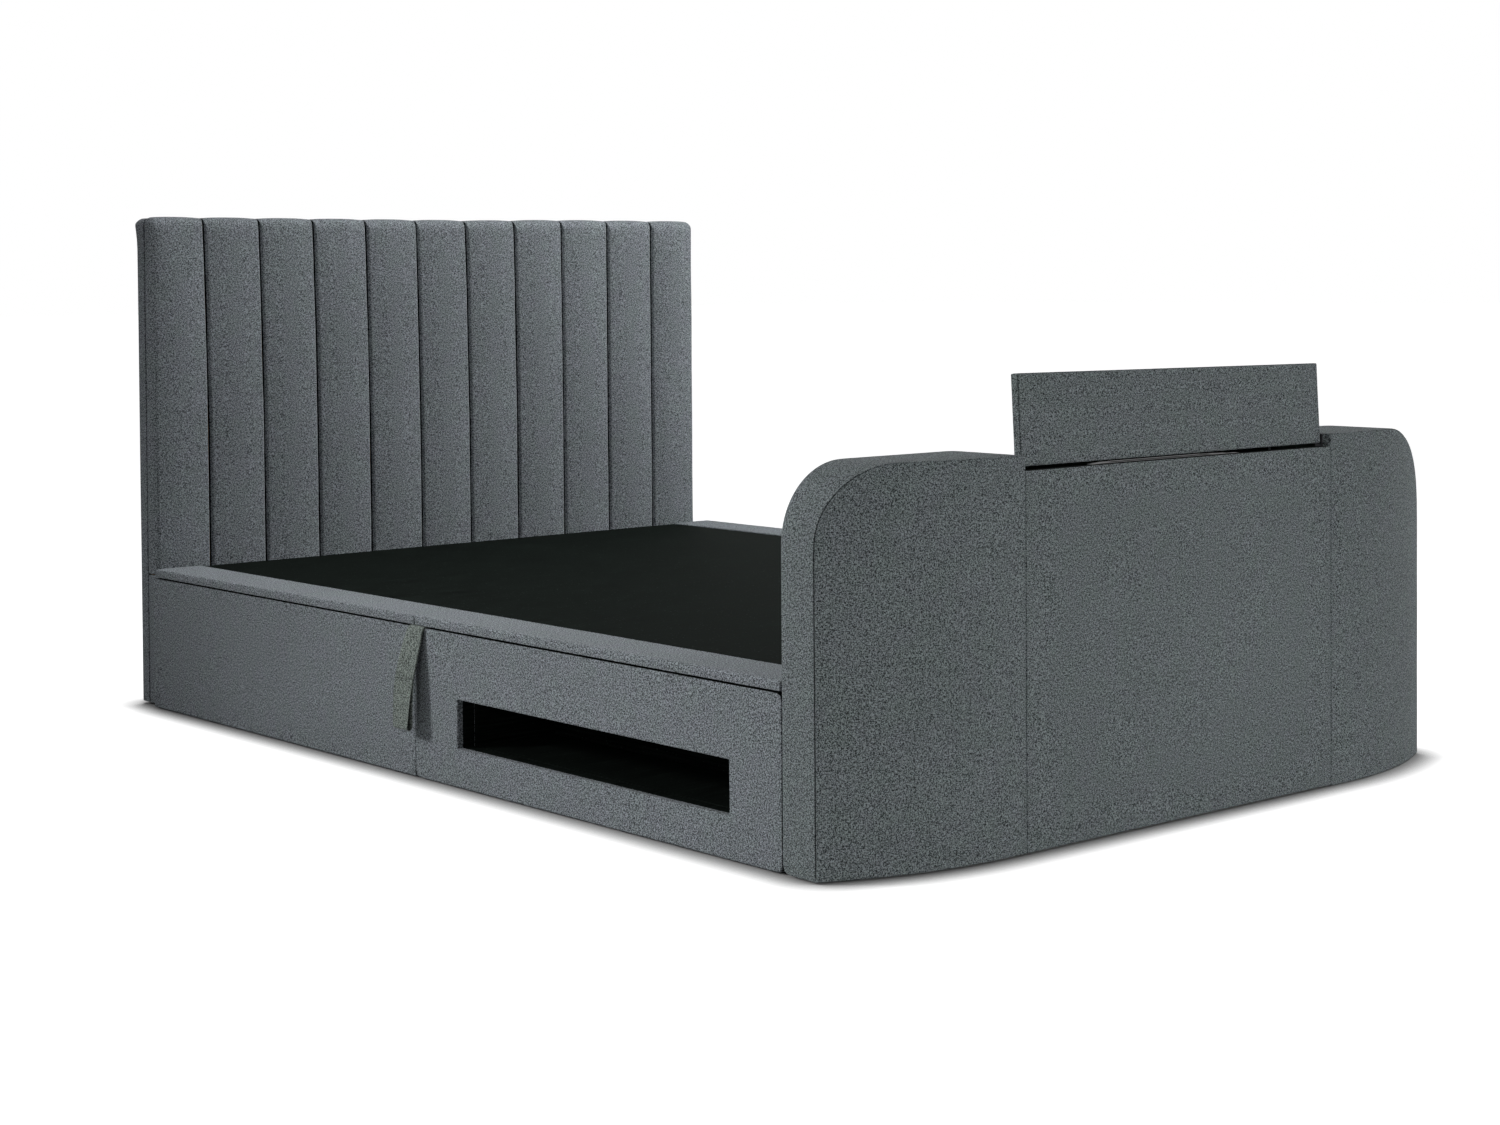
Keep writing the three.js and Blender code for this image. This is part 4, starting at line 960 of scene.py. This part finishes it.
def build_rear_panel():
    node = "footboard_rear_panel"
    low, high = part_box(node)
    inset = WING_LIP + 0.0004
    centre_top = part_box("footboard_centre_panel")[1].z
    rows = 24
    points, faces = [], []

    def top(x):
        side = -1 if x < 0 else 1
        if abs(x) < BAY_HALF:
            return centre_top
        radius = SHOULDER_RADIUS[side]
        along = max(0.0, abs(x) - high.x + radius)
        return high.z - radius + math.sqrt(max(0.0, (radius - inset) ** 2 - along**2))

    def half_lines(side):
        arc_x = high.x - SHOULDER_RADIUS[side]
        radius = SHOULDER_RADIUS[side] - inset
        turns = [arc_x + radius * math.sin(math.radians(9 * step)) for step in range(1, 11)]
        inner = spread(0.0, BAY_HALF - 0.0005, 10) + [BAY_HALF + 0.0005]
        return inner + spread(BAY_HALF + 0.0005, arc_x, 6) + turns

    lines = [-x for x in reversed(half_lines(-1))] + [0.0] + half_lines(1)

    def patch(depth, uneven):
        first = len(points)
        for x in lines:
            for share in even(rows):
                bulge = soft(x, share * 0.6, 23, uneven, 0.18)
                points.append((x, depth + bulge, low.z + (top(x) - low.z) * share))
        faces.extend(Slab.patch(first, len(lines), rows + 1))
        return first

    first, last = patch(high.y - 0.002, 0.0008), patch(low.y, 0.0)
    loop = [i * (rows + 1) + j for i, j in boundary(0, len(lines) - 1, 0, rows)]
    faces.extend(Slab.bridge([first + k for k in loop], [last + k for k in loop]))
    piece = mesh_object("footboard_rear_cover", points, faces)
    bevel_edges(piece, 0.003, 3, 50)
    finish_piece(piece, node, levels=0)
    # Its front inside the bay gets black cloth as painted shade
    paint_shade_faces(piece, lambda centre, normal: normal.y < -0.9 and abs(centre.x) < BAY_HALF)


def build_centre_panel():
    node = "footboard_centre_panel"
    low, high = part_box(node)
    whole = (low.x, high.x, low.z, high.z)

    def front(a, b):
        return low.y + 0.001 - PANEL_PUFF * crown(a, b, whole, 7) + soft(a, b, 29)

    # The top under the flap gets black cloth as painted shade in the gap
    def under_flap_shade(centre, normal):
        return centre.z > high.z - 0.005 and normal.z > 0.9

    rect = (low.x + SEAM_GAP / 2, high.x - SEAM_GAP / 2, low.z - HEM_DROP, high.z - CENTRE_TOP_DROP)
    slab = Slab(rect, front, lambda a, b: high.y, lambda a, b, depth: (a, depth, b), (34, 26), 0.0035)
    slab.round_sides(left=SEAM_ROUND, right=SEAM_ROUND, bottom=HEM_ROUND)
    upholster(slab, "footboard_centre_cover", node, pick_painted_shade=under_flap_shade)


def build_flap():
    joint = next(j for j in frame["joints"] if j["name"] == "tv_flap_hinge")
    pivot = Vector(joint["pos_m"])
    half_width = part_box("tv_flap")[1].x
    half = FLAP_THICKNESS / 2
    turn = Matrix.Rotation(-FLAP_LEAN, 3, "X")
    reach = half_width + FLAP_SWELL
    whole = (-half_width, half_width, -half, FLAP_LENGTH - half)

    def front(a, b):
        crease = FLAP_CREASE * math.exp(-(((reach - abs(a) - 0.016) / 0.008) ** 2))
        return FLAP_PUFF * (1 - crown(a, b, whole, 6)) - half + crease + soft(a, b, 37, 0.0004, 0.06)

    def place(a, b, depth):
        return tuple(pivot + turn @ Vector((a, depth, b * (1 - FLAP_TAPER * a / reach))))

    rect = (-reach, reach, -half, FLAP_LENGTH - half)
    slab = Slab(rect, front, lambda a, b: -front(a, b), place, (44, 9), 0.003)
    slab.radii = (0.002,) * 4
    slab.round_sides(left=0.0045, right=0.0045)
    # The seam grooves at its sides and top get black cloth as painted shade
    slab.seam, slab.seam_sides = 0.0012, ("left", "right", "top")
    slab.back_edge = 0.004
    upholster(slab, "flap_cover", "tv_flap", "flap")


# Platform


def build_rim(side_name, side):
    """One long rim; the left one has a short seam above the joint of the rail's halves"""
    node = f"platform_rim_{side_name}"
    low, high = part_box(node)
    outer, inner = max(abs(low.x), abs(high.x)), min(abs(low.x), abs(high.x))
    joint_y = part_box("side_rail_left_foot")[1].y
    thickness = high.z - low.z

    def front(a, b):
        return 0.0008 * (1 - crown(0.0, b, (-1, 1, inner, outer), 4)) + soft(a, b, 41 + side, 0.0003, 0.08)

    def place(a, b, depth):
        x, z = b, high.z - depth
        if side < 0 and depth > RIM_SEAM_DEPTH and b > outer - RIM_SEAM_DEPTH:
            x -= RIM_SEAM_DEPTH * near(abs(a - joint_y), RIM_SEAM_HALF)
        if side > 0:
            under = max(0.0, depth - 0.008) / (thickness - 0.008)
            z += HINGE_BEVEL_HEIGHT * under * near(outer - b, HINGE_BEVEL_WIDTH)
        return (side * x, a, z)

    # Faces in the short seam get black cloth as painted shade
    def rim_seam_shade(centre, normal):
        beside = abs(centre.y - joint_y) < 0.0011 and centre.x < low.x + 0.006
        return beside and centre.z < high.z - 0.005

    slab = Slab((low.y, high.y, inner, outer), front, lambda a, b: thickness, place, (90, 5), 0.0055)
    cuts = [(joint_y + move - low.y) / (high.y - low.y) for move in RIM_SEAM_CUTS]
    slab.shares = (sorted(even(90) + cuts), even(5))
    slab.round_sides(left=0.003, right=0.003)
    slab.back_edge = 0.0012
    upholster(slab, f"rim_cover_{side_name}", node, "platform", rim_seam_shade if side < 0 else None)


def build_board():
    node = "platform_board"
    low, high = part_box(node)

    def front(a, b):
        return 0.0003 + soft(a, b, 47, 0.0006, 0.25)

    rect, place = (low.x, high.x, low.y, high.y), (lambda a, b, depth: (a, b, high.z - depth))
    slab = Slab(rect, front, lambda a, b: high.z - low.z, place, (30, 44), 0.002)
    upholster(slab, "board_cover", node, "platform")


def strap_layers():
    """Middle lines of the doubled tape in (x, z): the front layer down, the fold, the back layer up"""
    low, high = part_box("pull_strap")
    rail_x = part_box("side_rail_left_foot")[0].x
    seam_z = high.z - 0.0014
    drop = seam_z - low.z - 0.0055
    reach = rail_x - low.x - 0.0034
    fold_out, fold_up = STRAP_FOLD
    tail = [(rail_x + inward, seam_z + 0.0008) for inward in (STRAP_UNDER_RIM, 0.014)]
    front = [(rail_x - reach * out, seam_z + 0.0006 - drop * down) for down, out in STRAP_CURVE]
    fold_x, fold_z = rail_x - reach + fold_out, seam_z - drop + fold_up
    turns = (3.6, 4.2, 4.71, 5.2, 5.8)
    fold = [(fold_x + fold_out * math.cos(turn), fold_z + fold_up * math.sin(turn)) for turn in turns]
    back = [(fold_x + 0.0056, fold_z + 0.004)]
    for down, out in reversed(STRAP_CURVE[1:-1]):
        gap = 0.0013 + 0.010 * max(0.0, (down - STITCH_DROP) / (1 - STITCH_DROP))
        back.append((rail_x - reach * out + gap, seam_z - 0.0012 - drop * down))
    back += [(rail_x + inward, seam_z - 0.0008) for inward in (0.003, 0.014, STRAP_UNDER_RIM)]
    return tail + front + fold + back


def smoothed(path):
    """Cuts a path's corners twice and keeps its ends"""
    for _ in range(2):
        cut = [path[0]]
        for before, after in zip(path, path[1:]):
            cut.append(tuple(0.75 * p + 0.25 * q for p, q in zip(before, after)))
            cut.append(tuple(0.25 * p + 0.75 * q for p, q in zip(before, after)))
        path = cut + [path[-1]]
    return path


def build_strap():
    low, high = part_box("pull_strap")
    path = [Vector((x, 0, z)) for x, z in smoothed(strap_layers())]
    middle = (low.y + high.y) / 2
    across = (-1.0, -0.96, -0.88, -0.5, 0.0, 0.5, 0.88, 0.96, 1.0)
    points, faces = [], []
    for k, place in enumerate(path):
        before, after = path[max(0, k - 1)], path[min(len(path) - 1, k + 1)]
        along = (after - before).normalized()
        normal = Vector((along.z, 0, -along.x))
        down = max(0.0, (high.z - place.z) / (high.z - low.z))
        twist = STRAP_TWIST * math.sin(math.pi * min(1.0, down * 1.05) ** 0.8)
        for face in (1, -1):
            for share in across if face > 0 else reversed(across):
                selvedge = 0.55 if abs(share) == 1 else 1.25 if 0.9 < abs(share) < 1 else 1.0
                spot = place + normal * (STRAP_HALF_THICKNESS * selvedge * face)
                spot.x -= twist * (share + 0.2)
                y = middle + share * STRAP_HALF_WIDTH - STRAP_SKEW * (1 - 0.5 * min(1.0, down))
                points.append((spot.x, y, spot.z))
    ring = 2 * len(across)
    for k in range(len(path) - 1):
        faces += Slab.bridge(range(k * ring, (k + 1) * ring), range((k + 1) * ring, (k + 2) * ring))
    faces.append(tuple(range(ring)))
    faces.append(tuple(reversed(range(len(points) - ring, len(points)))))
    strap = mesh_object("pull_strap_tape", points, faces)
    finish_piece(strap, "pull_strap", "platform")


# Nodes that keep their own form


def dress_nodes():
    for name, node in frame["nodes"].items():
        node.data.materials.clear()
        node.data.materials.append(MATERIALS[SLOT_OF[name]])
        bevel_edges(node, 0.0004 if name.startswith("platform_hinge") else 0.0008, 2, 40)


# Swelling of the pads


def swell(pads):
    """Blows up the padded fronts with cloth pressure, then scales the rise to the given height"""
    scene = bpy.context.scene
    for piece, free in pads:
        held = set(range(len(piece.data.vertices))) - set(free)
        group = piece.vertex_groups.new(name="held")
        group.add(list(held), 1.0, "REPLACE")
        piece.modifiers["smooth"].show_viewport = False
        cloth = piece.modifiers.new("swell", "CLOTH")
        settings = cloth.settings
        settings.quality = 4
        settings.mass = 0.25
        settings.vertex_group_mass = "held"
        settings.use_pressure = True
        settings.uniform_pressure_force = CLOTH_PRESSURE
        settings.effector_weights.gravity = 0.0
        cloth.collision_settings.use_collision = False
        cloth.point_cache.frame_end = CLOTH_FRAMES
    for step in range(1, CLOTH_FRAMES + 1):
        scene.frame_set(step)
    graph = bpy.context.evaluated_depsgraph_get()
    blown = []
    for piece, _ in pads:
        shape = piece.evaluated_get(graph).to_mesh()
        blown.append([vertex.co.copy() for vertex in shape.vertices])
        piece.evaluated_get(graph).to_mesh_clear()
    for (piece, free), places in zip(pads, blown):
        vertices = piece.data.vertices
        moves = [(k, places[k] - vertices[k].co) for k in free]
        largest = max(move.length for _, move in moves)
        share = min(1.0, CHANNEL_PUFF / max(largest, 1e-6))
        for k, move in moves:
            vertices[k].co += move * share
        piece.modifiers.remove(piece.modifiers["swell"])
        piece.modifiers["smooth"].show_viewport = True
        piece.vertex_groups.remove(piece.vertex_groups["held"])
        print(f"{piece.name}: blown {largest * 1000:.1f} mm, kept {share:.2f}")
    scene.frame_set(1)


# Floor, light and camera


def white_to_the_eye(s):
    """1 for camera, glossy and transmission rays, otherwise 0"""
    path = s.tree.nodes.new("ShaderNodeLightPath")
    seen = s.sum("MAXIMUM", path.outputs["Is Camera Ray"], path.outputs["Is Glossy Ray"])
    return s.sum("MAXIMUM", seen, path.outputs["Is Transmission Ray"])


def build_floor():
    """A floor that the camera sees as white; near the bed it darkens by real shadow and by a painted contact
    shadow, its glow dimmed by ambient occlusion
    """
    mesh = bpy.data.meshes.new("floor")
    corners = ((-1, -1), (1, -1), (1, 1), (-1, 1))
    mesh.from_pydata([(x * FLOOR_REACH, y * FLOOR_REACH, 0) for x, y in corners], [], [(0, 1, 2, 3)])
    floor = bpy.data.objects.new("floor", mesh)
    bpy.context.scene.collection.objects.link(floor)
    s = new_material("floor", Roughness=0.9, Specular_IOR_Level=0.0)
    # The glow dims where ambient occlusion finds the bed close by: a painted contact shadow
    open_sky = s.node("AmbientOcclusion", {"Distance": PAINTED_SHADOW_REACH}, output=1, samples=16)
    clear = s.sum("POWER", s.span(open_sky, 0.5, 1.0), 1.5)
    s.set(Base_Color=(FLOOR_TONE, FLOOR_TONE, FLOOR_TONE, 1), Emission_Color=(1, 1, 1, 1))
    s.set(Emission_Strength=s.times(clear, white_to_the_eye(s)))
    mesh.materials.append(s.owner)


def build_world():
    world = bpy.data.worlds.new("studio")
    bpy.context.scene.world = world
    s = Shader(world, "Background", Color=(1, 1, 1, 1))
    s.set(Strength=s.span(white_to_the_eye(s), 0.0, 1.0, WORLD_GLOW, 1.0))


def area_light(name, place, target, size, power, spread=180):
    data = bpy.data.lights.new(name, "AREA")
    data.shape = "RECTANGLE"
    data.size, data.size_y = size
    data.spread = math.radians(spread)
    data.energy = power
    light = bpy.data.objects.new(name, data)
    light.location = place
    light.rotation_euler = (Vector(target) - Vector(place)).to_track_quat("-Z", "Y").to_euler()
    bpy.context.scene.collection.objects.link(light)


def build_lights():
    area_light("key_left", (-3.47, 1.61, 1.79), (-0.77, -0.8, 0.14), (0.5, 0.5), 14.2, 70)
    area_light("right_high", (3.4, -0.6, 3.0), (0.1, 0.9, 0.7), (1.4, 1.2), 27.1, 70)
    area_light("right_side", (4.2, -1.5, 1.6), (0.6, -0.9, 0.4), (2.0, 1.6), 36.6)
    area_light("over_head", (0.2, 0.2, 2.6), (0.1, 1.0, 0.6), (2.4, 1.2), 11.0, 110)
    area_light("over_middle", (0.3, 0.1, 3.6), (0, 0.1, 0), (3.2, 2.6), 7.4)
    area_light("over_rim", (-1.6, 0.1, 2.6), (-0.75, -0.3, 0.3), (0.6, 1.6), 2.2, 90)
    area_light("front_low", (0.2, -3.6, 0.45), (0, -1.13, 0.2), (1.6, 0.5), 15.1, 120)
    area_light("left_foot", (-3.6, -2.0, 1.2), (-0.7, -1.0, 0.2), (0.8, 0.8), 3.0, 60)


def build_camera():
    yaw, pitch, roll = (math.radians(angle) for angle in CAMERA_TURN)
    data = bpy.data.cameras.new("camera")
    data.sensor_fit = "HORIZONTAL"
    data.sensor_width = 36
    data.lens = FOCAL_PIXELS / IMAGE_WIDTH * data.sensor_width
    data.shift_y = -(MIDDLE_ROW - CENTRE_ROW) / IMAGE_WIDTH
    data.clip_end = 200
    camera = bpy.data.objects.new("camera", data)
    camera.matrix_world = Matrix.Translation(CAMERA_PLACE)
    for angle, axis in ((-yaw, "Z"), (math.pi / 2 - pitch, "X"), (roll, "Z")):
        camera.matrix_world @= Matrix.Rotation(angle, 4, axis)
    bpy.context.scene.collection.objects.link(camera)
    bpy.context.scene.camera = camera


build_camera()
build_world()
build_lights()
build_floor()
dress_nodes()
pads = build_channels()
build_headboard_shell()
build_headboard_lower_cover()
build_slotted_rail()
build_plain_rail("left", "head", -1)
build_plain_rail("right", "foot", 1)
build_plain_rail("right", "head", 1)
for wing_name, wing_side in (("left", -1), ("right", 1)):
    build_wing(wing_name, wing_side)
    build_rim(wing_name, wing_side)
build_rear_panel()
build_centre_panel()
build_flap()
build_board()
build_strap()
swell(pads)
bpy.context.scene.view_settings.view_transform = "Standard"
